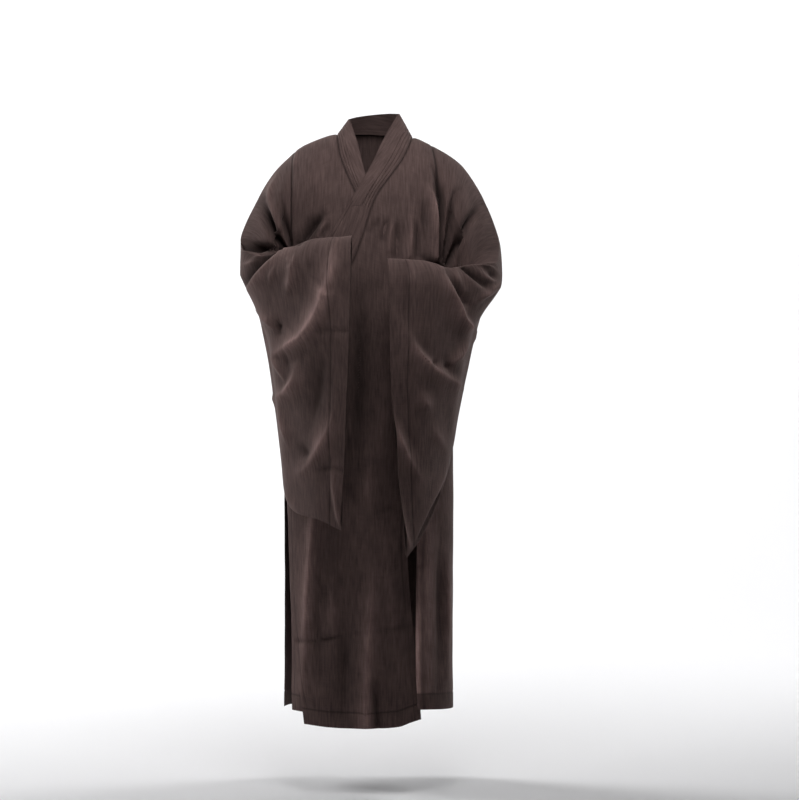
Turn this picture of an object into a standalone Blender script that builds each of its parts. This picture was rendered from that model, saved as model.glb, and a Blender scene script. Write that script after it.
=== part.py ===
"""A long cross-collar robe with wide sleeves, hollow, in the shape it has when worn with bent arms.

Metres, +Z up. The front faces -Y and the wearer's left is +X. The origin is midway between the
two points where the shoulders meet the collar. Every piece is a thin wall raised outwards from a
skin of ring sections; pieces that are sewn together share the skin's points along the seam, and
are drawn back a little from it.
"""

import math

import bmesh
import bpy
import numpy as np

WALL = 0.0017
COLLAR_WALL = 0.0026
HEM_EXTRA = 0.0011
SEAM_GAP = 0.00019
GUARD_GAP = 0.0006
GUARD_WALL = 0.0009

ROUND_FROM = -0.16
ROUND_POWER = 2.2
SHOULDER_Y = 0.004
UNDERARM_Z = -0.40
SLIT_TOP = -0.72
HEM_DEPTH = 0.034
HEM_STEP = 0.002
CUFF_SHARE = 0.48
CUFF_STEP = 0.02
UNDER_INSET = 0.0052
INSET_FADE_DEG = 26.0
ROUND_ROWS = 5
CHEST_ROWS = 7
WAIST_ROWS = 5
SKIRT_ROWS = 7
FRONT_COLUMNS = 10
NECK_COLUMNS = 6
UNDER_COLLAR_ROWS = 9
RINGS_PER_SECTION = 3
MID_LEVEL = 0.40

NECK_LEFT_X = 0.0902
NECK_RIGHT_X = -0.0728
BACK_NECK_DEPTH = 0.056
BACK_NECK_RISE = 0.012
BACK_EDGE_DEPTH = 0.047
BACK_EDGE_RISE = 0.009

KNOT_RADIUS = 0.0048
LOOP_CORD = 0.0012
LOOP_LEG = 0.018
LOOP_LEG_APART = 0.0026
LOOP_BEYOND = 0.0100
LOOP_RADIUS = 0.0066
LOOP_TURN = 135.0
LOOP_STEPS = 13
SIDE_CURVE = 0.150

CLOTH_COLOUR = (0.062, 0.040, 0.033, 1.0)
CLOTH_ROUGHNESS = 0.86


def table(names, *rows):
    """A short table as one array per named column."""
    return {name: np.array(column, float) for name, column in zip(names.split(), zip(*rows))}


# Worn section of the body, top to bottom: half width, depth before and behind the centre, squareness.
BODY = table(
    "z centre_x half_width front back square",
    (-1.290, -0.0055, 0.1842, 0.143, 0.136, 2.3),
    (-1.000, -0.0055, 0.1842, 0.136, 0.130, 2.3),
    (-0.750, -0.0055, 0.1842, 0.128, 0.124, 2.3),
    (-0.550, -0.0055, 0.1834, 0.122, 0.112, 2.3),
    (-0.400, -0.0055, 0.1860, 0.122, 0.102, 2.4),
    (-0.300, -0.0055, 0.1920, 0.124, 0.104, 2.4),
    (-0.160, -0.0055, 0.1950, 0.118, 0.100, 2.4),
)

# Ridge of the shoulders from the wearer's right to the left.
SHOULDER = table(
    "x z",
    (-0.2000, -0.0636),
    (-0.1759, -0.0415),
    (-0.1407, -0.0195),
    (-0.0728, 0.0040),
    (0.0902, -0.0040),
    (0.1276, -0.0195),
    (0.1693, -0.0415),
    (0.1913, -0.0636),
)

# Where the sleeve seams run, in degrees round the body from the middle of the front.
ARMHOLE = table(
    "z right_deg left_deg",
    (-0.400, 90.0, 90.0),
    (-0.375, 74.0, 71.0),
    (-0.330, 62.0, 57.0),
    (-0.260, 56.0, 50.0),
    (-0.155, 55.5, 49.5),
    (-0.090, 54.5, 46.5),
    (-0.015, 52.0, 40.5),
)

# Side seam and slit on the wearer's left, which the wrap pulls round to the front.
LEFT_SLIT = table(
    "z front_deg back_deg",
    (-1.290, 35.4, 36.6),
    (-1.240, 34.0, 35.8),
    (-1.190, 32.6, 34.9),
    (-1.117, 30.0, 34.2),
    (-1.045, 27.4, 33.7),
    (-0.970, 25.4, 33.0),
    (-0.915, 24.3, 32.2),
    (-0.850, 24.5, 31.0),
    (-0.780, 27.5, 30.6),
    (-0.720, 33.0, 33.0),
    (-0.600, 47.0, 47.0),
    (-0.500, 67.0, 67.0),
    (-0.400, 90.0, 90.0),
)

# Slit on the wearer's right: the under front's edge and the back's edge.
RIGHT_SLIT = table(
    "z front_deg back_deg",
    (-1.290, 63.0, 95.0),
    (-1.080, 65.0, 95.0),
    (-0.970, 69.0, 95.0),
    (-0.860, 73.0, 95.0),
    (-0.780, 80.0, 93.0),
    (-0.720, 90.0, 90.0),
    (-0.400, 90.0, 90.0),
)

# Line where the outer front meets the collar, then its free edge down the wearer's right.
OUTER_LINE = table(
    "z x",
    (-1.290, -0.1390),
    (-1.236, -0.1454),
    (-1.180, -0.1530),
    (-1.126, -0.1590),
    (-0.980, -0.1710),
    (-0.810, -0.1770),
    (-0.650, -0.1740),
    (-0.550, -0.1640),
    (-0.440, -0.1330),
    (-0.360, -0.0850),
    (-0.2845, -0.0385),
    (-0.2173, -0.0133),
    (-0.1555, 0.0061),
    (-0.0526, 0.0718),
    (-0.0040, 0.0902),
)

# The same for the under front, whose inner edge is hidden.
UNDER_LINE = table(
    "z x",
    (-1.290, 0.0600),
    (-0.600, 0.0700),
    (-0.400, 0.0740),
    (-0.300, 0.0500),
    (-0.200, 0.0050),
    (-0.1117, -0.0412),
    (-0.0411, -0.0663),
    (0.0040, -0.0728),
)

# Neck edge of the collar beside each height of its seam, and how far it stands before the chest.
OUTER_EDGE = table(
    "seam_z x z forward",
    (-0.400, -0.1590, -0.3560, 0.0),
    (-0.344, -0.1360, -0.3044, 0.0),
    (-0.2845, -0.1012, -0.2455, 0.0),
    (-0.2173, -0.0639, -0.1860, 0.0),
    (-0.1555, -0.0312, -0.1328, 0.0),
    (-0.0900, 0.0052, -0.0668, 0.0),
    (-0.0526, 0.0229, -0.0246, 0.002),
    (-0.0250, 0.0420, 0.0152, 0.034),
    (-0.0040, 0.0605, 0.0520, 0.0),
)
UNDER_EDGE = table(
    "seam_z x z forward",
    (-0.300, 0.0815, -0.2850, 0.0),
    (-0.200, 0.0360, -0.1840, 0.0),
    (-0.1117, -0.0082, -0.1000, 0.0),
    (-0.0411, -0.0290, -0.0180, 0.0),
    (-0.0150, -0.0375, 0.0090, 0.026),
    (0.0040, -0.0473, 0.0400, 0.0),
)

# Across the collar from its seam to the neck edge: share of the width, depth of the sewn groove there,
# and which part of the collar shows it (1 the whole length, 2 only the lower end).
GROOVE = 0.0009
ACROSS = table(
    "share groove reach",
    (0.000, 0, 1),
    (0.115, 0, 1),
    (0.130, 1, 1),
    (0.145, 0, 1),
    (0.245, 0, 1),
    (0.260, 1, 1),
    (0.275, 0, 1),
    (0.385, 0, 1),
    (0.400, 1, 1),
    (0.415, 0, 1),
    (0.640, 0, 1),
    (0.865, 0, 2),
    (0.880, 1, 2),
    (0.895, 0, 2),
    (1.000, 0, 1),
)
GUARD_FROM = 0.43
GUARD_TO = 0.85
GUARD_COLUMNS = 6
GUARD_LINES = 5

# Collar guard, from its seam side to its neck side: where its lower and its arched upper end cross the
# collar, as heights on the collar's seam.
GUARD = table(
    "share low_z top_z",
    (0.0, -0.1740, -0.1210),
    (0.5, -0.1800, -0.1150),
    (1.0, -0.1880, -0.1300),
)

# Largest folds as seen from the front: the ends of the ridge's line, how far its middle bows to the
# left of it, its height and its half width.
FOLD = "x z end_x end_z bow height width"
FOLDS = {
    "sleeve_right": table(
        FOLD,
        (-0.0820, -0.2800, -0.1900, -0.4560, -0.022, 0.0130, 0.0200),
        (-0.2350, -0.3850, -0.1966, -0.4251, 0.000, 0.0080, 0.0150),
        (-0.2100, -0.4780, -0.1789, -0.5335, 0.000, 0.0080, 0.0160),
        (-0.1574, -0.5013, -0.1900, -0.5765, 0.000, 0.0080, 0.0160),
        (-0.0766, -0.6247, -0.1670, -0.7325, -0.017, 0.0100, 0.0180),
        (-0.1690, -0.3000, -0.1680, -0.3500, 0.000, 0.0050, 0.0150),
    ),
    "sleeve_left": table(
        FOLD,
        (0.1535, -0.3008, 0.2200, -0.4200, 0.006, 0.0100, 0.0170),
        (0.0784, -0.4361, 0.1840, -0.5421, 0.014, 0.0110, 0.0180),
        (0.2200, -0.4350, 0.1685, -0.5124, 0.000, 0.0070, 0.0160),
        (0.0449, -0.5639, 0.1230, -0.7352, 0.021, 0.0110, 0.0190),
    ),
    "front_left": table(
        FOLD,
        (0.0085, -0.8890, -0.0020, -1.2650, 0.000, 0.0050, 0.0260),
        (-0.0960, -0.9200, -0.1000, -1.0500, 0.000, 0.0030, 0.0250),
    ),
    "back": table(
        FOLD,
        (-0.1080, -0.5500, -0.0980, -1.2600, 0.012, 0.0060, 0.0300),
        (-0.0200, -0.6200, 0.0080, -1.2600, -0.010, 0.0050, 0.0280),
        (0.1000, -0.5000, 0.0900, -1.2600, 0.014, 0.0060, 0.0300),
        (0.0500, -0.1500, 0.0700, -0.3800, 0.000, 0.0040, 0.0260),
        (-0.0700, -0.1700, -0.0900, -0.4000, 0.000, 0.0040, 0.0260),
    ),
}
ENTRY_RINGS = 5

# Height of the back's hem round the body, in degrees from the middle of the front by the left.
BACK_HEM = table("deg z", (30.0, -1.238), (90.0, -1.2514), (180.0, -1.262), (270.0, -1.2536))
OUTER_HEM = -1.2765
UNDER_HEM = -1.2480

# Hem of the outer front across it, rising a little to both of its corners.
OUTER_HEM_LINE = table(
    "x z",
    (-0.1400, -1.2725),
    (-0.0600, -1.2765),
    (0.0200, -1.2765),
    (0.0600, -1.2745),
    (0.0860, -1.2665),
    (0.1060, -1.2610),
)

# Sections of each sleeve from the armhole to the mouth. Each is a hanging loop: its top on the arm, the
# layers that face the body (in) and away (out) at the arm and half way down, and its bottom fold.
SECTION = (
    "top_x top_y top_z drop in_x in_y out_x out_y"
    " mid_in_x mid_in_y mid_out_x mid_out_y low_x low_y low_z"
)
SLEEVE_RIGHT = table(
    SECTION,
    (-0.167, 0.004, -0.036, 0.12, -0.170, -0.078, -0.170, 0.072,
     -0.172, -0.078, -0.172, 0.072, -0.1915, 0.000, -0.400),
    (-0.216, 0.002, -0.086, 0.12, -0.197, -0.080, -0.208, 0.072,
     -0.198, -0.074, -0.216, 0.064, -0.2140, 0.004, -0.428),
    (-0.255, 0.000, -0.152, 0.10, -0.214, -0.080, -0.249, 0.062,
     -0.206, -0.072, -0.240, 0.048, -0.2150, 0.002, -0.510),
    (-0.285, -0.006, -0.226, 0.06, -0.222, -0.082, -0.288, 0.038,
     -0.204, -0.078, -0.243, 0.020, -0.1990, -0.012, -0.640),
    (-0.276, -0.052, -0.254, 0.05, -0.216, -0.088, -0.286, -0.010,
     -0.196, -0.086, -0.222, -0.034, -0.1910, -0.040, -0.745),
    (-0.228, -0.108, -0.270, 0.05, -0.184, -0.094, -0.247, -0.098,
     -0.178, -0.104, -0.208, -0.096, -0.1800, -0.078, -0.797),
    (-0.177, -0.152, -0.262, 0.05, -0.142, -0.126, -0.196, -0.154,
     -0.145, -0.132, -0.174, -0.146, -0.1560, -0.120, -0.8195),
    (-0.110, -0.205, -0.242, 0.05, -0.090, -0.172, -0.128, -0.218,
     -0.096, -0.172, -0.118, -0.206, -0.1080, -0.178, -0.8285),
    (-0.0356, -0.250, -0.2405, 0.05, -0.037, -0.196, -0.038, -0.262,
     -0.043, -0.196, -0.043, -0.246, -0.0583, -0.210, -0.8500),
)
SLEEVE_LEFT = table(
    SECTION,
    (0.130, 0.004, -0.021, 0.13, 0.146, -0.086, 0.146, 0.074,
     0.150, -0.086, 0.150, 0.074, 0.1805, 0.000, -0.400),
    (0.192, 0.002, -0.058, 0.12, 0.178, -0.086, 0.191, 0.074,
     0.182, -0.078, 0.203, 0.062, 0.2040, 0.004, -0.428),
    (0.243, 0.000, -0.134, 0.11, 0.203, -0.084, 0.236, 0.062,
     0.196, -0.074, 0.232, 0.044, 0.2020, 0.000, -0.505),
    (0.279, -0.006, -0.236, 0.06, 0.212, -0.086, 0.289, 0.038,
     0.196, -0.080, 0.243, 0.014, 0.1900, -0.016, -0.590),
    (0.270, -0.056, -0.282, 0.05, 0.206, -0.094, 0.283, -0.014,
     0.190, -0.092, 0.221, -0.042, 0.1810, -0.048, -0.665),
    (0.215, -0.116, -0.290, 0.05, 0.174, -0.104, 0.238, -0.106,
     0.170, -0.114, 0.202, -0.106, 0.1640, -0.090, -0.735),
    (0.165, -0.160, -0.300, 0.05, 0.134, -0.136, 0.186, -0.162,
     0.138, -0.142, 0.168, -0.154, 0.1420, -0.130, -0.800),
    (0.105, -0.212, -0.2885, 0.05, 0.090, -0.178, 0.124, -0.224,
     0.092, -0.180, 0.114, -0.212, 0.1080, -0.180, -0.868),
    (0.0379, -0.250, -0.2870, 0.05, 0.041, -0.198, 0.041, -0.262,
     0.046, -0.198, 0.045, -0.246, 0.0767, -0.215, -0.9070),
)


def smooth(columns, key, name, where):
    """The named column at this value of the key column, along a curve with no overshoot."""
    x = columns[key]
    y = columns[name]
    where = np.clip(where, x[0], x[-1])
    step = np.diff(x)
    slope = np.diff(y) / step
    product = slope[:-1] * slope[1:]
    middle = np.where(product > 0, 2 * product / (slope[:-1] + slope[1:] + 1e-30), 0.0)
    tangent = np.concatenate([[slope[0]], middle, [slope[-1]]])
    i = np.clip(np.searchsorted(x, where) - 1, 0, len(step) - 1)
    t = (where - x[i]) / step[i]
    start = y[i] * (2 * t**3 - 3 * t**2 + 1) + tangent[i] * step[i] * (t**3 - 2 * t**2 + t)
    return start + y[i + 1] * (3 * t**2 - 2 * t**3) + tangent[i + 1] * step[i] * (t**3 - t**2)


def ease(value):
    value = min(max(value, 0.0), 1.0)
    return value * value * (3 - 2 * value)


class Row:
    """One line across the body: a height below the rounded shoulders, or a share of the way over them."""

    def __init__(self, z, over=0.0, share=None):
        self.z = z
        self.over = over
        self.depth = (1 - over**ROUND_POWER) ** (1 / ROUND_POWER)
        self.share = share


def body_rows():
    rows = []
    for k in range(ROUND_ROWS):
        turn = math.pi / 2 * (1 - k / ROUND_ROWS)
        over = math.sin(turn) ** (2 / ROUND_POWER)
        rows.append(Row(ROUND_FROM * (1 - over) - 0.02 * over, over))
    for k in range(CHEST_ROWS):
        rows.append(Row(ROUND_FROM + (UNDERARM_Z - ROUND_FROM) * k / CHEST_ROWS))
    for k in range(WAIST_ROWS):
        rows.append(Row(UNDERARM_Z + (SLIT_TOP - UNDERARM_Z) * k / WAIST_ROWS))
    for k in range(SKIRT_ROWS):
        share = k / SKIRT_ROWS
        rows.append(Row(SLIT_TOP + (OUTER_HEM + HEM_DEPTH - SLIT_TOP) * share, share=share))
    rows.append(Row(OUTER_HEM + HEM_DEPTH + HEM_STEP, share=1.0))
    rows.append(Row(OUTER_HEM + HEM_DEPTH, share=1.0))
    rows.append(Row(OUTER_HEM, share=1.0))
    return rows


ROWS = body_rows()
UNDERARM_ROW = ROUND_ROWS + CHEST_ROWS
SLIT_ROW = UNDERARM_ROW + WAIST_ROWS
LAST_ROW = len(ROWS) - 1


def crown(x, behind):
    """Depth and height of the top of the body at this x: the shoulder ridge, or behind it the neck seam."""
    across = (x - NECK_RIGHT_X) / (NECK_LEFT_X - NECK_RIGHT_X)
    if not behind or not 0 < across < 1:
        return SHOULDER_Y, float(smooth(SHOULDER, "x", "z", x))
    bow = 1 - (2 * across - 1) ** 2
    ends = SHOULDER["z"][3] * (1 - across) + SHOULDER["z"][4] * across
    return SHOULDER_Y + BACK_NECK_DEPTH * math.sqrt(bow), ends + BACK_NECK_RISE * bow


def level(row, k, hem):
    """Height of this row where the hem below it has this height."""
    if row.share is None:
        return row.z
    if k == LAST_ROW:
        return hem
    if k == LAST_ROW - 1:
        return hem + HEM_DEPTH
    if k == LAST_ROW - 2:
        return hem + HEM_DEPTH + HEM_STEP
    return SLIT_TOP + (hem + HEM_DEPTH - SLIT_TOP) * row.share


def skin(degrees, k, hem=OUTER_HEM, inset=0.0):
    """Point of the body's skin this far round from the middle of the front, on row k."""
    row = ROWS[k]
    z = level(row, k, hem)
    at = min(z, ROUND_FROM) if row.over == 0 else ROUND_FROM
    power = 2 / float(smooth(BODY, "z", "square", at))
    turn = math.radians(degrees)
    side = math.sin(turn)
    facing = math.cos(turn)
    width = float(smooth(BODY, "z", "half_width", at)) - inset
    x = float(smooth(BODY, "z", "centre_x", at)) + math.copysign(width * abs(side) ** power, side)
    reach = float(smooth(BODY, "z", "front" if facing > 0 else "back", at)) - inset
    y = -math.copysign(reach * abs(facing) ** power, facing)
    if row.over == 0:
        return np.array([x, y, z])
    top_y, top_z = crown(x, facing < 0)
    return np.array([x, top_y + (y - top_y) * row.depth, ROUND_FROM + (top_z - ROUND_FROM) * row.over])


def degrees_at(x, k, inset=0.0):
    """How far round the front of row k this x lies."""
    at = min(ROWS[k].z, ROUND_FROM)
    square = float(smooth(BODY, "z", "square", at))
    half_width = float(smooth(BODY, "z", "half_width", at)) - inset
    share = (x - float(smooth(BODY, "z", "centre_x", at))) / half_width
    return math.degrees(math.copysign(math.asin(min(abs(share), 1.0) ** (square / 2)), share))


def line_degrees(line, k, inset=0.0):
    """Where row k of a front meets this seam or edge."""
    degrees = degrees_at(float(smooth(line, "z", "x", ROWS[k].z)), k, inset)
    for _ in range(12):
        z = skin(degrees, k, inset=inset)[2]
        degrees = degrees_at(float(smooth(line, "z", "x", z)), k, inset)
    return degrees


def chest_y(x, z, inset=0.0):
    """Depth of the front skin at a point of the chest."""
    at = min(z, ROUND_FROM)
    square = float(smooth(BODY, "z", "square", at))
    half_width = float(smooth(BODY, "z", "half_width", at)) - inset
    share = abs(x - float(smooth(BODY, "z", "centre_x", at))) / half_width
    y = -(float(smooth(BODY, "z", "front", at)) - inset) * max(1 - share**square, 0.0) ** (1 / square)
    if z <= ROUND_FROM:
        return y
    over = min((z - ROUND_FROM) / (crown(x, False)[1] - ROUND_FROM), 1.0)
    return SHOULDER_Y + (y - SHOULDER_Y) * (1 - over**ROUND_POWER) ** (1 / ROUND_POWER)


def side_degrees(k, side, layer):
    """Edge of a panel at the wearer's side on row k: the armhole, the side seam or the slit."""
    if k <= UNDERARM_ROW:
        return float(smooth(ARMHOLE, "z", side + "_deg", ROWS[k].z))
    if k <= SLIT_ROW:
        layer = "front"
    slit = LEFT_SLIT if side == "left" else RIGHT_SLIT
    return float(smooth(slit, "z", layer + "_deg", ROWS[k].z))


def outer_front_grid():
    rows = []
    for k in range(len(ROWS)):
        start = line_degrees(OUTER_LINE, k)
        end = side_degrees(k, "left", "front")
        row = []
        for degrees in np.linspace(start, end, FRONT_COLUMNS + 1):
            x = skin(degrees, k)[0]
            row.append(skin(degrees, k, float(smooth(OUTER_HEM_LINE, "x", "z", x))))
        rows.append(row)
    return np.array(rows)


def under_front_grid():
    rows = []
    for k in range(len(ROWS)):
        start = -side_degrees(k, "right", "front")
        end = line_degrees(UNDER_LINE, k, UNDER_INSET)
        row = []
        for c in range(FRONT_COLUMNS + 1):
            degrees = start + (end - start) * c / FRONT_COLUMNS
            seam_degrees = -90.0 if k > UNDERARM_ROW else start
            full = 1.0 if k > SLIT_ROW + 1 else ease((degrees - seam_degrees) / INSET_FADE_DEG)
            row.append(skin(degrees, k, UNDER_HEM, UNDER_INSET * full))
        rows.append(row)
    return np.array(rows)


def back_grid():
    """From the wearer's left edge round behind to the right edge."""
    neck_left = 180 - degrees_at(NECK_LEFT_X, 0)
    neck_right = 180 - degrees_at(NECK_RIGHT_X, 0)
    rows = []
    for k in range(len(ROWS)):
        left = side_degrees(k, "left", "back")
        right = 360 - side_degrees(k, "right", "back")
        if k <= UNDERARM_ROW:
            left = 180 - left
            right = 180 + side_degrees(k, "right", "back")
        stops = np.concatenate([
            np.linspace(left, neck_left, FRONT_COLUMNS + 1),
            np.linspace(neck_left, neck_right, NECK_COLUMNS + 1)[1:],
            np.linspace(neck_right, right, FRONT_COLUMNS + 1)[1:],
        ])
        rows.append([skin(d, k, float(smooth(BACK_HEM, "deg", "z", d))) for d in stops])
    return np.array(rows)


def sleeve_loop(sections, s, shares):
    """One hanging loop of a sleeve, down the layer next to the body and up the outer layer."""
    order = {"s": np.arange(len(sections["top_x"]), dtype=float), **sections}
    here = {name: float(smooth(order, "s", name, s)) for name in sections}
    top = np.array([here["top_x"], here["top_y"]])
    low = np.array([here["low_x"], here["low_y"]])
    height = here["top_z"] - here["low_z"]
    arm = here["drop"] / height
    layers = []
    for layer in ("in", "out"):
        beside = np.array([here[layer + "_x"], here[layer + "_y"]])
        middle = np.array([here["mid_" + layer + "_x"], here["mid_" + layer + "_y"]])
        points = []
        for f in shares:
            if f < arm:
                plan = top + (beside - top) * math.sqrt(1 - (1 - f / arm) ** 2)
            else:
                fan = table("t x y", (arm, *beside), (MID_LEVEL, *middle), (1.0, *low))
                plan = np.array([float(smooth(fan, "t", "x", f)), float(smooth(fan, "t", "y", f))])
            points.append([plan[0], plan[1], here["top_z"] - height * f])
        layers.append(points)
    inner, outer = layers
    return np.array(inner + outer[-2:0:-1])


def sleeve_grid(sections, armhole):
    """Loops from the armhole to the mouth; the first is the armhole itself."""
    inner = len(armhole) // 2 + 1
    shares = (armhole[0, 2] - armhole[:inner, 2]) / (armhole[0, 2] - armhole[inner - 1, 2])
    last = len(sections["top_x"]) - 1
    stops = np.linspace(0, last, last * RINGS_PER_SECTION + 1)
    stops = np.concatenate([stops[:-2], [last - CUFF_SHARE - CUFF_STEP, last - CUFF_SHARE, last]])
    first = sleeve_loop(sections, 0.0, shares)
    loops = []
    for s in stops:
        loop = sleeve_loop(sections, s, shares)
        loops.append(loop + (armhole - first) * max(1 - s, 0.0) ** 2)
    return np.array(loops)


def across_collar(seam, edge):
    return [seam + (edge - seam) * share for share in ACROSS["share"]]


def collar_grid(outer, under, back):
    """Strips across the collar, from the outer front's end round the neck to the under front's end."""
    lines = []
    for k in range(UNDERARM_ROW, -1, -1):
        seam = outer[k, 0]
        x = float(smooth(OUTER_EDGE, "seam_z", "x", seam[2]))
        z = float(smooth(OUTER_EDGE, "seam_z", "z", seam[2]))
        y = chest_y(x, z) - float(smooth(OUTER_EDGE, "seam_z", "forward", seam[2]))
        lines.append(across_collar(seam, np.array([x, y, z])))
    left_top = lines[-1][-1]
    seam = under[0, -1]
    right_top = np.array([UNDER_EDGE["x"][-1], SHOULDER_Y, UNDER_EDGE["z"][-1]])
    for c in range(1, NECK_COLUMNS):
        seam = back[0, FRONT_COLUMNS + c]
        across = c / NECK_COLUMNS
        bow = 1 - (2 * across - 1) ** 2
        edge = left_top + (right_top - left_top) * across
        edge = edge + np.array([0.0, BACK_EDGE_DEPTH * math.sqrt(bow), BACK_EDGE_RISE * bow])
        lines.append(across_collar(seam, edge))
    for k in range(UNDER_COLLAR_ROWS + 1):
        seam = under[k, -1]
        x = float(smooth(UNDER_EDGE, "seam_z", "x", seam[2]))
        z = float(smooth(UNDER_EDGE, "seam_z", "z", seam[2]))
        y = chest_y(x, z, UNDER_INSET) - float(smooth(UNDER_EDGE, "seam_z", "forward", seam[2]))
        lines.append(across_collar(seam, np.array([x, y, z])))
    return np.array(lines)


def grid_normals(grid, wraps):
    """Outward normal at every point of one grid."""
    total = np.zeros_like(grid)
    rows, columns = grid.shape[:2]
    for i in range(rows - 1):
        for j in range(columns if wraps else columns - 1):
            j2 = (j + 1) % columns
            face = np.cross(grid[i + 1, j2] - grid[i, j], grid[i, j2] - grid[i + 1, j])
            for corner in ((i, j), (i + 1, j), (i + 1, j2), (i, j2)):
                total[corner] += face
    return total / np.linalg.norm(total, axis=-1, keepdims=True)


def seam_key(point):
    return tuple(np.round(point * 1e5).astype(int))


def shared_normals(grids):
    """Normals of every grid's points; where pieces meet, body, sleeve and collar each have one voice."""
    voices = {}
    own = {}
    for name, (grid, wraps) in grids.items():
        own[name] = grid_normals(grid, wraps)
        group = name.split("_")[0].replace("back", "front")
        for point, normal in zip(grid.reshape(-1, 3), own[name].reshape(-1, 3)):
            heard = voices.setdefault(seam_key(point), {})
            heard[group] = heard.get(group, 0) + normal
    agreed = {}
    for key, heard in voices.items():
        total = sum(voice / np.linalg.norm(voice) for voice in heard.values())
        agreed[key] = total / np.linalg.norm(total)
    return {
        name: np.array([[agreed[seam_key(point)] for point in row] for row in grid])
        for name, (grid, wraps) in grids.items()
    }


def drawn_back(grid, normals, wraps):
    """The grid with its edges moved in from the seam lines, along the cloth."""
    moved = grid.copy()

    def pull(edge, inside, normal):
        step = inside - edge
        step = step - normal * (step * normal).sum(-1, keepdims=True)
        return SEAM_GAP * step / np.linalg.norm(step, axis=-1, keepdims=True)

    moved[0] += pull(grid[0], grid[1], normals[0])
    moved[-1] += pull(grid[-1], grid[-2], normals[-1])
    if not wraps:
        moved[:, 0] += pull(grid[:, 0], grid[:, 1], normals[:, 0])
        moved[:, -1] += pull(grid[:, -1], grid[:, -2], normals[:, -1])
    return moved


def cloth_material(name, colour, roughness):
    material = bpy.data.materials.new(name)
    material.use_nodes = True
    shader = material.node_tree.nodes["Principled BSDF"]
    shader.inputs["Base Color"].default_value = colour
    shader.inputs["Roughness"].default_value = roughness
    shader.inputs["Metallic"].default_value = 0.0
    return material


def wall_object(name, grid, normals, outward, inward, wraps=False):
    """A closed wall: the skin of this grid, raised along its normals and backed by its hem."""
    bm = bmesh.new()
    away = bm.verts.layers.float_vector.new("away")
    back = bm.verts.layers.float_vector.new("back")
    rows, columns = grid.shape[:2]
    verts = []
    for i in range(rows):
        line = []
        for j in range(columns):
            vert = bm.verts.new(grid[i, j])
            vert[away] = normals[i, j] * outward[i, j]
            vert[back] = -normals[i, j] * inward[i, j]
            line.append(vert)
        verts.append(line)
    for i in range(rows - 1):
        for j in range(columns if wraps else columns - 1):
            j2 = (j + 1) % columns
            bm.faces.new((verts[i][j], verts[i + 1][j], verts[i + 1][j2], verts[i][j2]))
    bmesh.ops.triangulate(bm, faces=bm.faces[:], quad_method="SHORT_EDGE")
    inside = bm.faces[:]
    inside_verts = bm.verts[:]
    raised = bmesh.ops.extrude_face_region(bm, geom=inside, use_keep_orig=True)
    for vert in raised["geom"]:
        if isinstance(vert, bmesh.types.BMVert):
            vert.co += vert[away]
    for vert in inside_verts:
        vert.co += vert[back]
    bmesh.ops.reverse_faces(bm, faces=inside)
    bmesh.ops.triangulate(bm, faces=[f for f in bm.faces if len(f.verts) > 3])
    bmesh.ops.recalc_face_normals(bm, faces=bm.faces[:])
    mesh = bpy.data.meshes.new(name)
    bm.to_mesh(mesh)
    bm.free()
    mesh.shade_smooth()
    mesh.set_sharp_from_angle(angle=math.radians(50))
    obj = bpy.data.objects.new(name, mesh)
    bpy.context.scene.collection.objects.link(obj)
    obj.data.materials.append(cloth_material(name + "_cloth", CLOTH_COLOUR, CLOTH_ROUGHNESS))
    return obj


def even(grid, size):
    return np.full(grid.shape[:2], size)


def collar_walls(grid):
    """Thickness of the collar at every point, less the sewn grooves."""
    walls = even(grid, COLLAR_WALL)
    for line in range(len(grid)):
        low_end = line < UNDERARM_ROW and grid[line, 0, 2] < GUARD["low_z"][0]
        for column, (groove, reach) in enumerate(zip(ACROSS["groove"], ACROSS["reach"])):
            if groove and (reach == 2) == low_end:
                walls[line, column] -= GROOVE
    return walls


def guard_grid(collar, normals, walls):
    """Points on the collar's face under its guard, moved out by the gap."""
    lines = UNDERARM_ROW + 1
    heights = collar[:lines, 0, 2]
    face = collar + normals * (walls[..., None] + GUARD_GAP)
    rows = []
    for r in range(GUARD_LINES + 1):
        row = []
        for c in range(GUARD_COLUMNS + 1):
            side = c / GUARD_COLUMNS
            low = float(smooth(GUARD, "share", "low_z", side))
            top = float(smooth(GUARD, "share", "top_z", side))
            z = low + (top - low) * r / GUARD_LINES
            line = float(np.interp(z, heights, np.arange(lines)))
            share = GUARD_FROM + (GUARD_TO - GUARD_FROM) * side
            column = float(np.interp(share, ACROSS["share"], np.arange(len(ACROSS["share"]))))
            i = int(line)
            j = int(column)
            near = face[i, j] + (face[i, j + 1] - face[i, j]) * (column - j)
            far = face[i + 1, j] + (face[i + 1, j + 1] - face[i + 1, j]) * (column - j)
            row.append(near + (far - near) * (line - i))
        rows.append(row)
    return np.array(rows)


def fold_height(points, folds):
    """How far the folds raise each point, from its place as seen from the front."""
    total = np.zeros(points.shape[:-1])
    for x, z, end_x, end_z, bow, height, width in zip(*folds.values()):
        start = np.array([x, z])
        along = np.array([end_x, end_z]) - start
        length = np.linalg.norm(along)
        along = along / length
        aside = np.array([-along[1], along[0]])
        offset = points[..., [0, 2]] - start
        run = offset @ along / length
        inside = np.clip(run, 0, 1)
        distance = offset @ aside - bow * 4 * inside * (1 - inside)
        beyond = (run - inside) * length
        total += height * np.exp(-(distance**2 + 0.5 * beyond**2) / width**2)
    return total


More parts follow.
